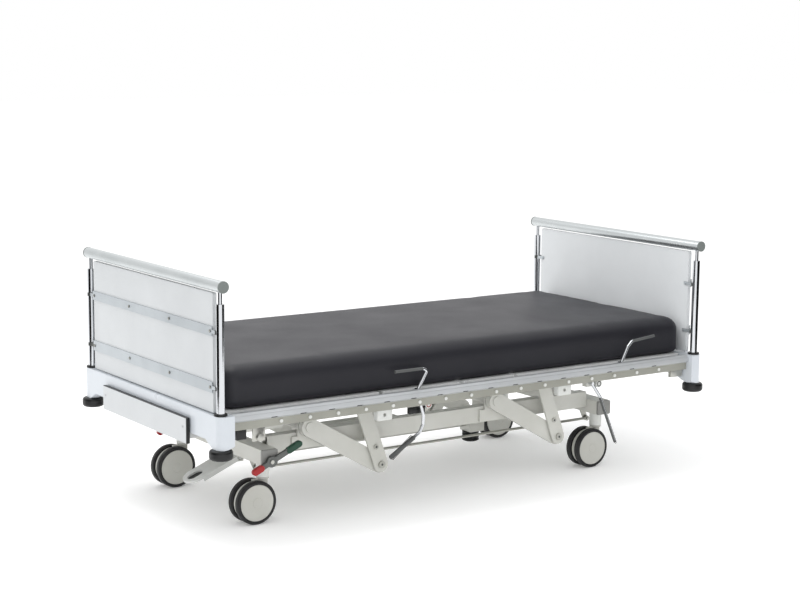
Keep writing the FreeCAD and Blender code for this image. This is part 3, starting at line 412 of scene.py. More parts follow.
def lathe(name: str, profile: list[tuple[float, float]], centre: Point, axis: int,
          steps: int = 64, smooth_deg: float = 38.0) -> Thing:
    """Turn a closed profile round an axis of the bed.

    Args:
        name: the piece's name.
        profile: radius and place along the axis, both in metres, in order round the section.
        centre: a point on the axis.
        axis: 0, 1 or 2 for X, Y or Z.
        steps: corners in a full turn.
        smooth_deg: edges sharper than this stay sharp.

    Returns:
        The turned piece.
    """
    verts: list[Vector] = []
    faces: list[list[int]] = []
    others = [i for i in range(3) if i != axis]
    count = len(profile)
    for step in range(steps):
        turn = 2 * math.pi * step / steps
        for radius, along in profile:
            point = Vector(centre)
            point[axis] += along
            point[others[0]] += radius * math.cos(turn)
            point[others[1]] += radius * math.sin(turn)
            verts.append(point)
    for step in range(steps):
        here = step * count
        there = ((step + 1) % steps) * count
        for i in range(count):
            j = (i + 1) % count
            faces.append([here + i, here + j, there + j, there + i])
    return object_from(name, verts, faces, smooth_deg)


def arc(centre: tuple[float, float], radius: float, start: float, end: float,
        steps: int) -> list[tuple[float, float]]:
    """Points on an arc in a profile.

    Args:
        centre: radius and place along the axis of the arc's middle.
        radius: the arc's own radius.
        start: first angle in degrees.
        end: last angle in degrees.
        steps: spaces between the points.

    Returns:
        The points, both ends among them.
    """
    out = []
    for i in range(steps + 1):
        turn = math.radians(start + (end - start) * i / steps)
        out.append((centre[0] + radius * math.cos(turn), centre[1] + radius * math.sin(turn)))
    return out


def merged_copy(node: str) -> bmesh.types.BMesh:
    """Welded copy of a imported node's mesh, without edges inside its flat faces."""
    work = bmesh.new()
    work.from_mesh(frame["nodes"][node].data)
    bmesh.ops.remove_doubles(work, verts=work.verts, dist=2e-6)
    bmesh.ops.dissolve_limit(work, angle_limit=math.radians(0.8), verts=work.verts,
                             edges=work.edges)
    return work


def island_of(start: bmesh.types.BMFace) -> list[bmesh.types.BMFace]:
    """Every face that is joined to this one."""
    seen = {start}
    queue = [start]
    while queue:
        face = queue.pop()
        for edge in face.edges:
            for other in edge.link_faces:
                if other not in seen:
                    seen.add(other)
                    queue.append(other)
    return list(seen)


def centre_of(node: str) -> Vector:
    """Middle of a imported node's box."""
    low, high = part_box(node)
    return (low + high) / 2


def far_of(node: str) -> Vector:
    """Largest |X|, largest |Y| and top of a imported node."""
    low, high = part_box(node)
    return Vector((max(-low.x, high.x), max(-low.y, high.y), high.z))


def pivot_of(joint: str) -> Vector:
    """Place of a joint."""
    return next(Vector(j["pos_m"]) for j in frame["joints"] if j["name"] == joint)


ANY: Band = (-9000.0, 9000.0)


@dataclass(frozen=True)
class Region:
    """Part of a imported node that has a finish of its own.

    The bands are measured inwards from the node's largest |X|, its largest |Y| and its top,
    in millimetres. Both ends and both sides of the bed are alike.
    """

    finish: Finish
    x: Band = ANY
    y: Band = ANY
    z: Band = ANY

    def holds(self, point: Vector, far: Vector) -> bool:
        """Whether a point lies in the region.

        Args:
            point: the point, in metres.
            far: the node's largest |X|, largest |Y| and top.

        Returns:
            True inside all three bands.
        """
        place = (abs(point.x), abs(point.y), point.z)
        bands = (self.x, self.y, self.z)
        return all(band[0] * MM <= far[i] - place[i] <= band[1] * MM
                   for i, band in enumerate(bands))


def dress(thing: Thing, finish: Finish, node: str, regions: tuple[Region, ...] = ()) -> None:
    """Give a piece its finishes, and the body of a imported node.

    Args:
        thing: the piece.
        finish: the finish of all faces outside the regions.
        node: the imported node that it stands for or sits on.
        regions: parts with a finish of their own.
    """
    thing.data.materials.clear()
    thing.data.materials.append(finish.build())
    far = far_of(node)
    for number, region in enumerate(regions, 1):
        thing.data.materials.append(region.finish.build())
        for face in thing.data.polygons:
            if region.holds(face.center, far):
                face.material_index = number
    body = str(frame["nodes"][node]["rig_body"])
    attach(thing, body)
    LOG.info("%s rides on %s in %s", thing.name, body, finish.name)


# ---- hard parts carried over
@dataclass
class EdgedPart:
    """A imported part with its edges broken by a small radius."""

    node: str
    finish: Finish
    edge_mm: float = 1.0
    segments: int = 2
    regions: tuple[Region, ...] = ()

    def build(self) -> None:
        """Copy the node, round its edges and dress it."""
        work = merged_copy(self.node)
        mesh = bpy.data.meshes.new(self.node + "_edged")
        work.to_mesh(mesh)
        work.free()
        made = put(self.node + "_edged", mesh)
        break_edges(made, self.edge_mm * MM, self.segments)
        even = made.modifiers.new("even", "WEIGHTED_NORMAL")
        even.keep_sharp = True
        flatten(made)
        dress(made, self.finish, self.node, self.regions)
        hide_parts(self.node)


@dataclass
class SplitPart:
    """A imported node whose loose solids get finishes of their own."""

    node: str
    edge_mm: float = 1.0

    def choose(self, low: Vector, high: Vector) -> tuple[str, Finish]:
        """Pick a group for one solid.

        Args:
            low: lowest corner of the solid's box.
            high: highest corner of the solid's box.

        Returns:
            The group's name and finish.
        """
        raise NotImplementedError

    def build(self) -> None:
        """Split the node into its solids and dress each group of them."""
        work = merged_copy(self.node)
        groups: dict[str, list] = {}
        looks: dict[str, Finish] = {}
        left = set(work.faces)
        while left:
            faces = island_of(next(iter(left)))
            left -= set(faces)
            points = [v.co for f in faces for v in f.verts]
            low = Vector([min(p[i] for p in points) for i in range(3)])
            high = Vector([max(p[i] for p in points) for i in range(3)])
            group, finish = self.choose(low, high)
            groups.setdefault(group, []).extend(faces)
            looks[group] = finish
        out = []
        for group in sorted(groups):
            verts: list[Vector] = []
            polys: list[list[int]] = []
            index: dict = {}
            for face in groups[group]:
                for vert in face.verts:
                    if vert not in index:
                        index[vert] = len(verts)
                        verts.append(vert.co.copy())
                polys.append([index[v] for v in face.verts])
            made = object_from(f"{self.node}_{group}", verts, polys)
            break_edges(made, self.edge_mm * MM, 2)
            dress(made, looks[group], self.node)
            out.append(made)
        for made in out:
            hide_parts(self.node)
        work.free()


class BrakePads(SplitPart):
    """Red pads at the foot side of the shaft, green at the other."""

    def choose(self, low: Vector, high: Vector) -> tuple[str, Finish]:
        """Red below the shaft's X, green past it."""
        shaft = centre_of("brake_shaft_foot").x
        return ("red", PAD_RED) if (low.x + high.x) / 2 < shaft else ("green", PAD_GREEN)


@dataclass
class RailFittings(SplitPart):
    """Blocks, stops, rollers, straps and clamps that hang under the side rails."""

    stops_to: float = 55 * MM     # from the foot end frame
    rollers_to: float = 150 * MM  # from the foot end frame
    straps_from: float = 90 * MM  # before the head end frame
    clamp_over: float = 63 * MM   # only the lever clamps are longer than this

    def choose(self, low: Vector, high: Vector) -> tuple[str, Finish]:
        """Pick the finish from the place along the rail, and the clamps by their length."""
        middle = (low.x + high.x) / 2
        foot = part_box("end_frame_foot")[1].x
        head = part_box("end_frame_head")[0].x
        if middle < foot + self.stops_to:
            return "stop", NYLON_BLACK_AND_PAINTED_SHADE
        if middle > head - self.straps_from:
            return "strap", ZINC
        if middle < foot + self.rollers_to:
            return "roller", ZINC
        if high.x - low.x > self.clamp_over:
            return "clamp", NYLON_BLACK_AND_PAINTED_SHADE
        return "block", FITTING_WHITE


@dataclass
class PumpHousing(SplitPart):
    """Pump body and its ribbed boot."""

    boot_top: float = 60 * MM  # over the underside of both

    def choose(self, low: Vector, high: Vector) -> tuple[str, Finish]:
        """The boot hangs lowest."""
        if high.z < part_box(self.node)[0].z + self.boot_top:
            return "boot", RUBBER_AND_PAINTED_SHADE
        return "body", LIFT_GREY


# Dipped sleeves of the hand levers.
GRIPS = {
    "leg_lever": Region(GRIP_GREY_AND_PAINTED_REFLECTION, x=(-1, 109.7), y=(-1, 28), z=(82, 9000)),
    "backrest_lever": Region(GRIP_GREY_AND_PAINTED_REFLECTION, y=(-1, 26), z=(130.5, 9000)),
}
# Cross bars: clamps at the posts, and bolt heads that stand out from the bar.
BAR_STEEL = (Region(STEEL_DARK, y=(-1, 29.5)), Region(STEEL_DARK, x=(-1, 5.54), y=(30, 9000)))
HANGER_PINS = (Region(ZINC, y=(-1, 5.5)),)
# The side rails' lower outer flank, in painted shade.
FLANK = (Region(RAIL_FLANK_PAINTED_SHADE, y=(-1, 11.5), z=(27.5, 9000)),)
TUBE_CAPS = (Region(ABS_CAP, y=(-1, 4.5)),)
# Top and end edges of the shelf front in black: painted shadow of the gap between the front and the
# end frame.
FRONT_EDGES_PAINTED_SHADE = (Region(NYLON_BLACK_AND_PAINTED_SHADE, z=(-1, 1.3)), Region(NYLON_BLACK_AND_PAINTED_SHADE, y=(-1, 1.3)))
# Dark grey on the upper ends of the chrome retainers: painted reflection.
BACK_PAINTED_REFLECTION = (Region(GRIP_GREY_AND_PAINTED_REFLECTION, x=(-1, 105.55), z=(-1, 19.47)),)
THIGH_PAINTED_REFLECTION = (Region(GRIP_GREY_AND_PAINTED_REFLECTION, x=(-1, 101), z=(-1, 13.49)),)

EDGED = (
    EdgedPart("chassis_long_beams", LIFT_GREY, 2.5, 3),
    EdgedPart("chassis_cross_beams", LIFT_GREY, 2.0),
    EdgedPart("beam_end_caps", ABS_GREY, 1.5),
    EdgedPart("arm_pivot_brackets", LIFT_GREY),
    EdgedPart("lift_arm_head", LIFT_GREY, 2.5, 3),
    EdgedPart("lift_arm_foot", LIFT_GREY, 2.5, 3),
    EdgedPart("arm_hangers", LIFT_GREY, 1.2, 2, HANGER_PINS),
    EdgedPart("lift_cylinder_barrel", LIFT_GREY),
    EdgedPart("lift_cylinder_rod", ZINC, 0.8),
    EdgedPart("frame_cross_members", LIFT_GREY, 1.5),
    EdgedPart("end_frame_foot", FRAME_WHITE, 4.0, 4),
    EdgedPart("end_frame_head", FRAME_WHITE, 4.0, 4),
    EdgedPart("side_rails", RAIL_METAL, 1.5, 3, FLANK),
    EdgedPart("seat_panel", PLATFORM),
    EdgedPart("backrest_panel", PLATFORM),
    EdgedPart("thigh_panel", PLATFORM),
    EdgedPart("calf_panel", PLATFORM),
    EdgedPart("foot_cross_bars", BAR_METAL, 0.8, 2, BAR_STEEL),
    EdgedPart("head_cross_bars", BAR_METAL, 0.8, 2, BAR_STEEL),
    EdgedPart("foot_top_rail", TOP_METAL, 0.5, 2, TUBE_CAPS),
    EdgedPart("head_top_rail", TOP_METAL, 0.5, 2, TUBE_CAPS),
    EdgedPart("leg_lever", CHROME, 0.0, 1, (GRIPS["leg_lever"],)),
    EdgedPart("backrest_lever", CHROME, 0.0, 1, (GRIPS["backrest_lever"],)),
    EdgedPart("brake_pedals", STEEL_DARK, 1.2),
    EdgedPart("pump_pedal", PEDAL_SILVER, 1.2),
    EdgedPart("shelf_tray", TRAY_GREY, 0.8),
    EdgedPart("backrest_retainers", CHROME, 0.0, 1, BACK_PAINTED_REFLECTION),
    EdgedPart("thigh_retainers", CHROME, 0.0, 1, THIGH_PAINTED_REFLECTION),
    EdgedPart("shelf_front", LAMINATE, 1.0, 2, FRONT_EDGES_PAINTED_SHADE),
    EdgedPart("socket_collars", NYLON_BLACK_AND_PAINTED_SHADE, 1.2),
    EdgedPart("foot_panel", LAMINATE, 1.5, 3),
    EdgedPart("head_panel", LAMINATE_HEAD_PAINTED_LIGHT, 1.5, 3),
)
SPLIT = (
    BrakePads("brake_pads", 0.6),
    RailFittings("accessory_brackets"),
    PumpHousing("hydraulic_pump"),
)
KEPT = {
    "caster_housings": FITTING_WHITE, "corner_bumpers": RUBBER_AND_PAINTED_SHADE, "rail_studs": FITTING_WHITE,
    "foot_posts": CHROME, "head_posts": CHROME, "brake_shaft_foot": ZINC,
    "brake_shaft_head": ZINC, "brake_link_rod": ZINC, "pump_push_rod": ZINC,
}


def dress_kept() -> None:
    """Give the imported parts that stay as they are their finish."""
    for node, finish in KEPT.items():
        thing = frame["nodes"][node]
        material = finish.build()
        for entry in thing.material_slots:
            entry.material = material
        if not thing.material_slots:
            thing.data.materials.append(material)
        LOG.info("%s in %s", node, finish.name)


# ---- geometry-node builders
@dataclass
class NodeMaker:
    """A geometry node tree with named inputs, turned into plain meshes."""

    name: str
    sizes: dict[str, float] = field(default_factory=dict)

    def shape(self, tree: Tree, out: Sockets) -> Socket:
        """Build the shape that repeats.

        Args:
            tree: the tree to fill.
            out: the group input's output sockets, one for each size.

        Returns:
            The socket with the shape's geometry.
        """
        raise NotImplementedError

    def tree(self) -> Tree:
        """Put the shape on every point, make it real and give it its material."""
        tree = bpy.data.node_groups.new(self.name, "GeometryNodeTree")
        face = tree.interface
        face.new_socket("Geometry", in_out="INPUT", socket_type="NodeSocketGeometry")
        face.new_socket("Geometry", in_out="OUTPUT", socket_type="NodeSocketGeometry")
        face.new_socket("Material", in_out="INPUT", socket_type="NodeSocketMaterial")
        for label, value in self.sizes.items():
            size = face.new_socket(label, in_out="INPUT", socket_type="NodeSocketFloat")
            size.default_value = value
        face.new_socket("Turn", in_out="INPUT", socket_type="NodeSocketRotation")
        out = add(tree, "NodeGroupInput").outputs
        copies = add(tree, "GeometryNodeInstanceOnPoints", None, {
            "Points": out["Geometry"], "Instance": self.shape(tree, out),
            "Rotation": out["Turn"]})
        real = add(tree, "GeometryNodeRealizeInstances", None, {0: copies.outputs[0]})
        flat = add(tree, "GeometryNodeSetShadeSmooth", None,
                   {"Geometry": real.outputs[0], "Shade Smooth": True})
        done = add(tree, "GeometryNodeSetMaterial", None,
                   {"Geometry": flat.outputs[0], "Material": out["Material"]})
        add(tree, "NodeGroupOutput", None, {0: done.outputs[0]})
        return tree

    def run(self, tree: Tree, name: str, points: list[Point], finish: Finish,
            turn: Point) -> Thing:
        """Run the tree on a cloud of points and keep the result as a mesh.

        Args:
            tree: the tree to run.
            name: the new piece's name.
            points: where the repeated shape goes, in metres.
            finish: the surface of every copy.
            turn: Euler angles of every copy, in radians.

        Returns:
            A plain mesh object.
        """
        mesh = bpy.data.meshes.new(name)
        mesh.from_pydata(points, [], [])
        made = put(name, mesh)
        modifier = made.modifiers.new("build", "NODES")
        modifier.node_group = tree
        for item in tree.interface.items_tree:
            if item.item_type != "SOCKET" or item.in_out != "INPUT":
                continue
            if item.name == "Material":
                modifier[item.identifier] = finish.build()
            elif item.name == "Turn":
                modifier[item.identifier] = turn
        flatten(made)
        soften(made.data, 40.0)
        return made


@dataclass
class SocketScrews(NodeMaker):
    """Button-head screws with a hexagon socket."""

    name: str = "socket_screws"
    sizes: dict[str, float] = field(default_factory=lambda: {
        "Head radius": 4.6 * MM, "Head height": 1.4 * MM,
        "Socket radius": 2.3 * MM, "Socket depth": 1.6 * MM})

    def shape(self, tree: Tree, out: Sockets) -> Socket:
        """Head as a cone frustum, less a hexagon."""
        top = add(tree, "ShaderNodeMath", {"operation": "MULTIPLY"}, {0: out["Head radius"], 1: 0.72})
        head = add(tree, "GeometryNodeMeshCone", {"fill_type": "NGON"}, {
            "Vertices": 28, "Radius Top": top.outputs[0], "Radius Bottom": out["Head radius"],
            "Depth": out["Head height"]})
        hexagon = add(tree, "GeometryNodeMeshCylinder", {"fill_type": "NGON"}, {
            "Vertices": 6, "Radius": out["Socket radius"], "Depth": out["Socket depth"]})
        lift = add(tree, "ShaderNodeCombineXYZ", None, {2: out["Head height"]})
        raised = add(tree, "GeometryNodeTransform", None,
                     {"Geometry": hexagon.outputs[0], "Translation": lift.outputs[0]})
        return add(tree, "GeometryNodeMeshBoolean", {"operation": "DIFFERENCE"},
                   {0: head.outputs[0], 1: raised.outputs[0]}).outputs[0]


@dataclass
class DarkFloors(NodeMaker):
    """Thin black sheets with round ends, set low in a slot or an opening as painted shade."""

    name: str = "rail_slots"
    sizes: dict[str, float] = field(default_factory=lambda: {
        "Length": 25.0 * MM, "Width": 5.0 * MM, "Corner": 2.4 * MM, "Thickness": 0.4 * MM})

    def shape(self, tree: Tree, out: Sockets) -> Socket:
        """A thin stadium."""
        ring = add(tree, "GeometryNodeCurvePrimitiveQuadrilateral", None,
                   {"Width": out["Length"], "Height": out["Width"]})
        rounded = add(tree, "GeometryNodeFilletCurve", {"mode": "POLY"},
                      {0: ring.outputs[0], "Count": 6, "Radius": out["Corner"]})
        sheet = add(tree, "GeometryNodeFillCurve", {"mode": "NGONS"}, {0: rounded.outputs[0]})
        return add(tree, "GeometryNodeExtrudeMesh", None,
                   {0: sheet.outputs[0], "Offset Scale": out["Thickness"]}).outputs[0]


@dataclass
class Rings(NodeMaker):
    """Round rings: the ribs of a lever's grip, or the markers on the lever stops."""

    name: str = "grip_ribs"
    sizes: dict[str, float] = field(default_factory=lambda: {
        "Ring radius": 7.5 * MM, "Rib radius": 0.9 * MM})

    def shape(self, tree: Tree, out: Sockets) -> Socket:
        """One ring."""
        ring = add(tree, "GeometryNodeCurvePrimitiveCircle", None,
                   {"Resolution": 28, "Radius": out["Ring radius"]})
        wire = add(tree, "GeometryNodeCurvePrimitiveCircle", None,
                   {"Resolution": 8, "Radius": out["Rib radius"]})
        return add(tree, "GeometryNodeCurveToMesh", None,
                   {"Curve": ring.outputs[0], "Profile Curve": wire.outputs[0]}).outputs[0]


# ---- castors
# Profile of a wheel's side cover in mm: radius, and depth under the wheel's side.
COVER_HUB = ((0.3, 0.9), (16, 0.9), (17, 1.7), (18.2, 1.7), (19, 1.0))
BACK_HUB = ((20, 3.2), (16, 1.0), (0.3, 1.0))
# The same next to the tread, with the distance in from the tread in place of the radius.
COVER_RIM = ((9, 1.3), (5, 1.0), (2.2, 0.5), (0.9, 1.0), (0.2, 2.6))
BACK_RIM = ((0.2, 2.4), (1.6, 1.2), (12, 1.2), (15, 3.2))


@dataclass
class TwinWheel:
    """One wheel of a twin castor: black tread on a pale moulded body with a side cover."""

    node: str
    outward: float
    cover_share: float = 0.84
    tread_round: float = 6.5 * MM

    def tread(self, inner: float, radius: float, half: float) -> list[tuple[float, float]]:
        """Section of the tread.

        Args:
            inner: its inner radius.
            radius: its outer radius.
            half: half the wheel's width.

        Returns:
            Radius and place along the axle, in order round the section.
        """
        r = self.tread_round
        lip = inner + 1.2 * MM
        out = [(inner, -half + 1.0 * MM), (lip, -half + 0.2 * MM)]
        out += arc((radius - r, -half + r), r, -90, 0, 7)
        out += arc((radius - r, half - r), r, 0, 90, 7)
        return out + [(lip, half - 0.2 * MM), (inner, half - 1.0 * MM)]

    def cover(self, inner: float, half: float) -> list[tuple[float, float]]:
        """Section of the moulded body with its side cover.

        Args:
            inner: the tread's inner radius.
            half: half the wheel's width.

        Returns:
            Radius and place along the axle, in order round the section.
        """
        out = [(a * MM, half - b * MM) for a, b in COVER_HUB]
        out += [(inner - a * MM, half - b * MM) for a, b in COVER_RIM]
        out += [(inner - a * MM, b * MM - half) for a, b in BACK_RIM]
        out += [(a * MM, b * MM - half) for a, b in BACK_HUB]
        return [(radius, along * self.outward) for radius, along in out]

    def build(self) -> None:
        """Turn the tread and the body, and dress both."""
        low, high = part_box(self.node)
        centre = tuple((low + high) / 2)
        radius = (high.z - low.z) / 2
        half = (high.y - low.y) / 2
        inner = radius * self.cover_share
        tyre = lathe(self.node + "_tread", self.tread(inner, radius, half), centre, 1, 96)
        hub = lathe(self.node + "_cover", self.cover(inner, half), centre, 1, 72)
        dress(tyre, TYRE_BLACK, self.node)
        dress(hub, WHEEL_COVER, self.node)
        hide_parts(self.node)
        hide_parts(self.node)


@dataclass
class Castors:
    """The four twin castors."""

    tags: tuple[str, ...] = ("fr", "fl", "hr", "hl")

    def build(self) -> None:
        """Build every wheel and give the forks their edges."""
        for tag in self.tags:
            fork = "caster_fork_" + tag
            for letter in ("a", "b"):
                node = f"wheel_{tag}_{letter}"
                outward = 1.0 if centre_of(node).y > centre_of(fork).y else -1.0
                TwinWheel(node, outward).build()
            EdgedPart(fork, WHEEL_COVER, 1.2).build()


# ---- mattress
COVER_CLOTH = {"use_pressure": True, "uniform_pressure_force": 3.0, "quality": 4,
               "tension_stiffness": 25, "compression_stiffness": 25, "bending_stiffness": 4}
SETTLE_FRAMES = 14


@dataclass
class Mattress:
    """Foam mattress in a coated cover, shaped as one and cut where the sections need it."""

    side_round: float = 50 * MM
    top_round: float = 44 * MM
    low_round: float = 9 * MM
    crown: float = 3.5 * MM
    cell: float = 15 * MM
    swell_cap: float = 6 * MM
    shrink: float = 2 * MM
    hip_zone: float = 95 * MM
    knee_zone: float = 55 * MM
    fill: float = 0.9

    def box(self) -> tuple[Vector, Vector]:
        """Box round all four packed segments."""
        boxes = [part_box("mattress_" + part) for part in ("back", "seat", "thigh", "calf")]
        return (Vector([min(low[i] for low, _ in boxes) for i in range(3)]),
                Vector([max(high[i] for _, high in boxes) for i in range(3)]))

    def grid(self, low: Vector, high: Vector) -> Thing:
        """Make a closed block of even quads.

        Args:
            low: lowest corner.
            high: highest corner.

        Returns:
            The block.
        """
        counts = [max(2, round((high[i] - low[i]) / self.cell)) for i in range(3)]
        index: dict[tuple[int, int, int], int] = {}
        verts: list[Vector] = []

        def at(i: int, j: int, k: int) -> int:
            """Index of the grid point, made on first use."""
            if (i, j, k) not in index:
                index[i, j, k] = len(verts)
                share = (i / counts[0], j / counts[1], k / counts[2])
                verts.append(Vector([low[n] + (high[n] - low[n]) * share[n] for n in range(3)]))
            return index[i, j, k]

        faces = []
        for fixed in range(3):
            a, b = [n for n in range(3) if n != fixed]
            for end in (0, counts[fixed]):
                for u in range(counts[a]):
                    for v in range(counts[b]):
                        ring = []
                        for du, dv in ((0, 0), (1, 0), (1, 1), (0, 1)):
                            place = [0, 0, 0]
                            place[fixed] = end
                            place[a] = u + du
                            place[b] = v + dv
                            ring.append(at(*place))
                        faces.append(ring)
        return object_from("mattress_whole", verts, faces, 180.0)

    def round_off(self, thing: Thing, low: Vector, high: Vector) -> None:
        """Pull the block's edges to their radii and crown its top.

        Args:
            thing: the block.
            low: its lowest corner.
            high: its highest corner.
        """
        middle = (low + high) / 2
        half = (high - low) / 2
        for vert in thing.data.vertices:
            point = vert.co
            top = point.z > middle.z
            radii = Vector((self.side_round, self.side_round,
                            self.top_round if top else self.low_round))
            inner = Vector([min(max(point[i], low[i] + radii[i]), high[i] - radii[i])
                            for i in range(3)])
            off = point - inner
            size = math.sqrt(sum((off[i] / radii[i]) ** 2 for i in range(3)))
            if size > 1e-9:
                point = inner + off / size
            across = (point.y - middle.y) / half.y
            along = (point.x - middle.x) / half.x
            if top:
                share = (point.z - middle.z) / half.z
                point.z += self.crown * share * (1 - across ** 2) * (1 - along ** 4)
            vert.co = point

    def settle(self, thing: Thing, floor: float) -> None:
        """Let the cover swell as cloth over the foam, within a small cap, flat side down.

        Args:
            thing: the rounded block.
            floor: height of the platform that it lies on.
        """
        rest = [v.co.copy() for v in thing.data.vertices]
        cloth = thing.modifiers.new("cover", "CLOTH")
        for key, value in COVER_CLOTH.items():
            setattr(cloth.settings, key, value)
        cloth.settings.effector_weights.gravity = 0.0
        cloth.point_cache.frame_start = 1
        cloth.point_cache.frame_end = SETTLE_FRAMES
        scene = bpy.context.scene
        for step in range(1, SETTLE_FRAMES + 1):
            scene.frame_set(step)
        graph = bpy.context.evaluated_depsgraph_get()
        moved = [v.co.copy() for v in thing.evaluated_get(graph).data.vertices]
        thing.modifiers.clear()
        scene.frame_set(1)
        for vert, before, after in zip(thing.data.vertices, rest, moved):
            push = after - before
            if push.length > self.swell_cap:
                push = push.normalized() * self.swell_cap
            vert.co = before + push
            vert.co.z = max(vert.co.z, floor)

    def cut(self, thing: Thing, name: str, x0: float, x1: float) -> Thing:
        """Closed slice of the mattress between two planes across the bed.

        Args:
            thing: the whole mattress.
            name: the slice's name.
            x0: plane at the foot side, in metres.
            x1: plane at the head side, in metres.

        Returns:
            The slice as an object.
        """
        work = bmesh.new()
        work.from_mesh(thing.data)
        for x, way in ((x0, -1.0), (x1, 1.0)):
            parts = work.verts[:] + work.edges[:] + work.faces[:]
            found = bmesh.ops.bisect_plane(work, geom=parts, plane_co=(x, 0, 0),
                                           plane_no=(way, 0, 0), clear_outer=True)
            rim = [e for e in found["geom_cut"] if isinstance(e, bmesh.types.BMEdge)]
            if rim:
                bmesh.ops.triangle_fill(work, edges=rim, use_beauty=True, normal=(way, 0, 0))
        mesh = bpy.data.meshes.new(name)
        work.to_mesh(mesh)
        work.free()
        soften(mesh, 60.0)
        return put(name, mesh)

    def build(self) -> None:
        """Shape, settle and cut the mattress into slices in the cover finish, and hide the packed
        segments.
        """
        low, high = self.box()
        inset = Vector((self.shrink, self.shrink, 0))
        start_low = low + inset
        start_high = high - inset - Vector((0, 0, self.crown + self.shrink))
        whole = self.grid(start_low, start_high)
        self.round_off(whole, start_low, start_high)
        self.settle(whole, low.z)
        back, thigh, knee = (pivot_of(j) for j in ("backrest_tilt", "thigh_raise", "calf_follow"))
        seat_mid = (back.x + thigh.x) / 2
        thigh_mid = (thigh.x + knee.x) / 2
        hip = Vector((self.hip_zone, 0, 0))
        zone = Vector((self.knee_zone, 0, 0))
        slices = (
            ("mattress_cover_back", seat_mid, high.x + 1, "mattress_frame", "backrest",
             back - hip, back + hip, ("mattress_back", "mattress_seat")),
            ("mattress_cover_middle", thigh_mid, seat_mid, "mattress_frame", "thigh",
             thigh + zone, thigh - zone, ("mattress_thigh",)),
            ("mattress_cover_leg", low.x - 1, thigh_mid, "thigh", "calf",
             knee + zone, knee - zone, ("mattress_calf",)),
        )
        for name, x0, x1, first, second, start, end, nodes in slices:
            piece = self.cut(whole, name, x0, x1)
            piece.data.materials.append(COVER.build())
            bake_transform(piece)
            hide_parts(*nodes)
            LOG.info("%s bends from %s to %s", name, first, second)
        bpy.data.objects.remove(whole)


# ---- small hardware
FACING: dict[str, Point] = {
    "-x": (0.0, -math.pi / 2, 0.0), "+x": (0.0, math.pi / 2, 0.0),
    "-y": (math.pi / 2, 0.0, 0.0), "+y": (-math.pi / 2, 0.0, 0.0)}


def hand(side: float) -> tuple[str, Point]:
    """Name of a side of the bed, and the turn that faces outwards there."""
    return ("left", FACING["+y"]) if side > 0 else ("right", FACING["-y"])


def corners(node: str) -> list[Vector]:
    """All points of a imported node."""
    return [v.co.copy() for v in frame["nodes"][node].data.vertices]


def clusters(points: list[Vector], gap: float = 28 * MM) -> list[Vector]:
    """Middles of groups of points that lie close together.

    Args:
        points: loose points.
        gap: points nearer than this to a group's first point belong to it.

    Returns:
        One middle for each group.
    """
    groups: list[list[Vector]] = []
    for point in points:
        for group in groups:
            if (point - group[0]).length < gap:
                group.append(point)
                break
        else:
            groups.append([point])
    return [sum(group, Vector()) / len(group) for group in groups]


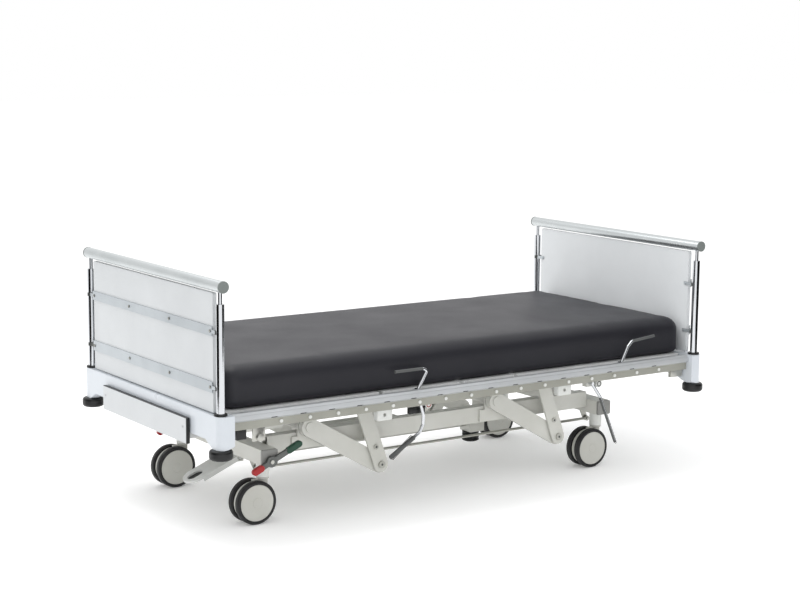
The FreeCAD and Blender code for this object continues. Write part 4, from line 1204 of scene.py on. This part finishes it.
@dataclass
class Hardware:
    """Screws, pivot bolts, lever grips, marker rings, and black sheets of painted shade in the rail
    slots and the pedal's opening.
    """

    seat: float = 0.3 * MM        # how deep a screw sits in the face under it
    face: float = 0.2 * MM        # points this near to an outer face count as on it
    clamp_zone: float = 37 * MM   # the cross bars' ends, which have no screws
    shelf_clear: float = 100 * MM  # middle of the shelf front, which has no screws
    pin_face: float = 2.5 * MM    # the hanger pins' ends stand out by this
    grip_ribs: int = 25
    grip_end: float = 6 * MM      # smooth length at either end of a grip
    slot_rise: float = 31 * MM    # slots over the rail's underside
    slot_inset: float = 7.4 * MM  # slot floors under the rail's side
    slot_pitch: float = 110 * MM
    slot_lead: float = 21 * MM    # first slot before the first stud
    slot_end: float = 24 * MM     # no slot nearer than this to the rail's end
    ring_inset: float = 16.5 * MM  # marker rings inside the lever's outer side
    # The pad below is a black sheet of painted shade deep in the pump pedal's opening.
    pad_reach: float = 189.2 * MM  # pad's middle from the pump pedal's pivot
    pad_drop: float = 3.8 * MM    # pad under the pedal plate's middle
    pad_slope: float = math.atan2(88, 216)  # the pedal falls this much to its nose

    def place(self, maker: NodeMaker, tree: Tree, name: str, node: str,
              points: list[Vector], facing: Point, finish: Finish) -> None:
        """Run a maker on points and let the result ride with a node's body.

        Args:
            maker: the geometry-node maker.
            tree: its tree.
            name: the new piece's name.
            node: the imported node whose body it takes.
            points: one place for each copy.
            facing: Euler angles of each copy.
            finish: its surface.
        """
        if points:
            dress(maker.run(tree, name, [tuple(p) for p in points], finish, facing), finish, node)

    def screws(self) -> None:
        """Socket screws on the end boards, the shelf front and the arm pivots."""
        maker = SocketScrews()
        tree = maker.tree()
        for end, way, turn in (("foot", -1.0, "-x"), ("head", 1.0, "+x")):
            node = end + "_cross_bars"
            limit = far_of(node).y - self.clamp_zone
            inner = [p for p in corners(node) if abs(p.y) < limit]
            far = max(p.x * way for p in inner)
            heads = clusters([p for p in inner if p.x * way > far - self.face])
            spots = [Vector((p.x - way * self.seat, p.y, p.z)) for p in heads]
            self.place(maker, tree, end + "_board_screws", node, spots, FACING[turn], ZINC)
        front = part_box("shelf_front")[0].x
        heads = clusters([p for p in corners("shelf_front") if p.x < front + self.face])
        spots = [Vector((front + maker.sizes["Head height"], p.y, p.z))
                 for p in heads if abs(p.y) > self.shelf_clear]
        self.place(maker, tree, "shelf_screws", "shelf_front", spots, FACING["-x"], ZINC)
        limit = far_of("arm_hangers").y - self.pin_face
        for side in SIDES:
            pins = [p for p in corners("arm_hangers") if p.y * side > limit]
            spots = [Vector((p.x, p.y - side * self.seat, p.z)) for p in clusters(pins)]
            name, turn = hand(side)
            self.place(maker, tree, "pivot_bolts_" + name, "arm_hangers", spots, turn, STEEL_DARK)

    def grips(self) -> None:
        """Ribbed sleeves over the lever ends."""
        maker = Rings()
        tree = maker.tree()
        for node, sleeve in GRIPS.items():
            far = far_of(node)
            for side in SIDES:
                mine = [p for p in corners(node) if p.y * side > 0 and sleeve.holds(p, far)]
                end = min(mine, key=lambda p: p.z)
                start = max(mine, key=lambda p: (p - end).length)
                middle = sum(mine, Vector()) / len(mine)
                way = Vector((start.x - end.x, 0.0, start.z - end.z)).normalized()
                reach = [(p - middle).dot(way) for p in mine]
                first, last = min(reach) + self.grip_end, max(reach) - self.grip_end
                spots = [middle + way * (first + (last - first) * i / (self.grip_ribs - 1))
                         for i in range(self.grip_ribs)]
                turn = tuple(way.to_track_quat("Z", "Y").to_euler())
                self.place(maker, tree, f"{node}_grip_{hand(side)[0]}", node, spots, turn,
                           GRIP_GREY_AND_PAINTED_REFLECTION)

    def slots(self) -> None:
        """Black sheets on the floors of the slots that are cut along each side rail: painted shade.
        """
        maker = DarkFloors()
        tree = maker.tree()
        low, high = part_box("side_rails")
        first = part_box("rail_studs")[0].x - self.slot_lead
        count = int((high.x - first) / self.slot_pitch) + 1
        for side in SIDES:
            spots = [Vector((first + self.slot_pitch * i, side * (high.y - self.slot_inset),
                             low.z + self.slot_rise)) for i in range(count)]
            spots = [p for p in spots if abs(p.x) < high.x - self.slot_end]
            name, turn = hand(side)
            self.place(maker, tree, "rail_slots_" + name, "side_rails", spots, turn, NYLON_BLACK_AND_PAINTED_SHADE)

    def rings(self) -> None:
        """Marker rings on the lever stops: red at the legs, black at the back."""
        maker = Rings(sizes={"Ring radius": 8.6 * MM, "Rib radius": 1.7 * MM})
        tree = maker.tree()
        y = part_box("backrest_lever")[1].y - self.ring_inset
        stops = (("leg", "leg_lever_pull", (45, -15), PAD_RED),
                 ("back", "backrest_lever_pull", (44, -7), NYLON_BLACK_AND_PAINTED_SHADE))
        for name, joint, (dx, dz), finish in stops:
            pivot = pivot_of(joint)
            spots = [Vector((pivot.x + dx * MM, side * y, pivot.z + dz * MM)) for side in SIDES]
            self.place(maker, tree, name + "_marker_rings", "accessory_brackets", spots,
                       FACING["-y"], finish)

    def pedal_pad(self) -> None:
        """Black sheet in the rubber finish, set low in the opening of the pump pedal's nose: painted
        shade deep in the opening.
        """
        maker = DarkFloors(sizes={"Length": 60.6 * MM, "Width": 40.6 * MM, "Corner": 20.2 * MM,
                                  "Thickness": 1.5 * MM})
        pivot = pivot_of("pump_pedal_stroke")
        pivot.y = 0.0
        turn = Matrix.Rotation(-self.pad_slope, 3, "Y")
        spot = pivot + turn @ Vector((-self.pad_reach, 0.0, -self.pad_drop))
        self.place(maker, maker.tree(), "pump_pedal_pad", "pump_pedal", [spot],
                   (0.0, -self.pad_slope, 0.0), RUBBER_AND_PAINTED_SHADE)

    def build(self) -> None:
        """Build every small part."""
        self.screws()
        self.grips()
        self.slots()
        self.rings()
        self.pedal_pad()


# ---- camera, floor and lights
@dataclass
class Studio:
    """White cove, one large soft lamp over the bed, and the camera."""

    yaw: float = 55.5493
    pitch: float = -8.8163
    roll: float = 0.5125
    distance: float = 6.6089
    aim: Point = (0.0134, 0.0320, 0.2190)
    lens: float = 79.90
    floor_half: float = 30.0
    floor_glow: float = 0.14
    lamp_size: float = 2.4
    lamp_power: float = 46.0
    lamp_place: Point = (-0.7, 0.9, 3.3)  # from the bed's middle, on the floor
    lamp_aim: float = 0.4  # height over the floor
    flag_height: float = 2.4
    near_flag: Point = (1.7, -2.1, 0.02)  # from the bed's middle
    foot_flag: Point = (-1.9, -0.2, 0.02)  # from the foot end's outer face

    def camera(self, centre: Vector) -> None:
        """Place the camera by its direction and distance from the bed's middle."""
        yaw = math.radians(self.yaw)
        pitch = math.radians(self.pitch)
        forward = Vector((math.cos(yaw) * math.cos(pitch), math.sin(yaw) * math.cos(pitch),
                          math.sin(pitch)))
        data = bpy.data.cameras.new("camera")
        data.lens = self.lens
        data.sensor_width = 36.0
        data.clip_end = 100.0
        made = put("camera", data)
        place = centre + Vector(self.aim) - forward * self.distance
        look = forward.to_track_quat("-Z", "Y").to_matrix().to_4x4()
        made.matrix_world = (Matrix.Translation(place) @ look
                             @ Matrix.Rotation(math.radians(self.roll), 4, "Z"))
        bpy.context.scene.camera = made

    def board(self, name: str, material: str, verts: list[Vector], shade: float,
              glow: float = 0.0) -> Thing:
        """One flat, matt board of the studio.

        Args:
            name: the board's name.
            material: its material's name.
            verts: its four corners in order.
            shade: its grey, from nought to one.
            glow: light that it gives off itself.

        Returns:
            The board.
        """
        made = object_from(name, verts, [[0, 1, 2, 3]])
        paint = bpy.data.materials.new(material)
        paint.use_nodes = True
        values = {"Base Color": (shade, shade, shade, 1.0), "Roughness": 1.0,
                  "Specular IOR Level": 0.0, "Emission Color": (1.0, 1.0, 1.0, 1.0),
                  "Emission Strength": glow}
        for key, value in values.items():
            paint.node_tree.nodes["Principled BSDF"].inputs[key].default_value = value
        made.data.materials.append(paint)
        made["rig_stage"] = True
        return made

    def lamp(self, name: str, place: Vector, aim: Vector) -> None:
        """One square soft lamp at a place, turned to a point."""
        data = bpy.data.lights.new(name, "AREA")
        data.shape = "SQUARE"
        data.size = self.lamp_size
        data.energy = self.lamp_power
        made = put(name, data)
        made.location = place
        made.rotation_euler = (aim - place).to_track_quat("-Z", "Y").to_euler()

    def world(self) -> None:
        """Even white surround."""
        world = bpy.data.worlds.new("cove")
        world.use_nodes = True
        world.node_tree.nodes["Background"].inputs[0].default_value = (1, 1, 1, 1)
        world.node_tree.nodes["Background"].inputs[1].default_value = 1.0
        bpy.context.scene.world = world

    def flag(self, name: str, foot: Vector, azimuth: float, width: float) -> None:
        """Black board that only reflections see, which gives chrome its dark stripes.

        Args:
            name: the board's name.
            foot: middle of its lower edge.
            azimuth: the way it faces, in degrees from +X.
            width: its width in metres.
        """
        turn = math.radians(azimuth + 90)
        along = Vector((math.cos(turn), math.sin(turn), 0)) * (width / 2)
        up = Vector((0, 0, self.flag_height))
        verts = [foot - along, foot + along, foot + along + up, foot - along + up]
        made = self.board(name, name + "_black_molton", verts, 0.01)
        made.visible_camera = False
        made.visible_diffuse = False
        made.visible_shadow = False

    def build(self, low: Vector, high: Vector) -> None:
        """Set the whole studio.

        Args:
            low: lowest corner of the bed's box.
            high: highest corner of the bed's box.
        """
        centre = (low + high) / 2
        size = self.floor_half
        verts = [Vector((x, y, 0)) for x, y in ((-size, -size), (size, -size), (size, size),
                                                (-size, size))]
        self.board("floor", "studio_floor_white", verts, 1.0, self.floor_glow)
        self.world()
        middle = Vector((centre.x, centre.y, 0.0))
        end = Vector((low.x, centre.y, 0.0))
        self.lamp("overhead", middle + Vector(self.lamp_place),
                  middle + Vector((0.0, 0.0, self.lamp_aim)))
        self.flag("flag_near", middle + Vector(self.near_flag), 135.0, 4.0)
        self.flag("flag_foot", end + Vector(self.foot_flag), 353.0, 3.1)
        self.camera(centre)
        bpy.context.scene.view_settings.view_transform = "Standard"


# ---- assembly
def main() -> None:
    """Build the bed's looks in order, with the studio set round the bed's box."""
    cad_low, cad_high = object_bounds()
    dress_kept()
    for part in EDGED + SPLIT:
        part.build()
    Castors().build()
    Mattress().build()
    Hardware().build()
    Studio().build(cad_low, cad_high)


if __name__ == "__main__":
    logging.basicConfig(level=logging.INFO)
    main()
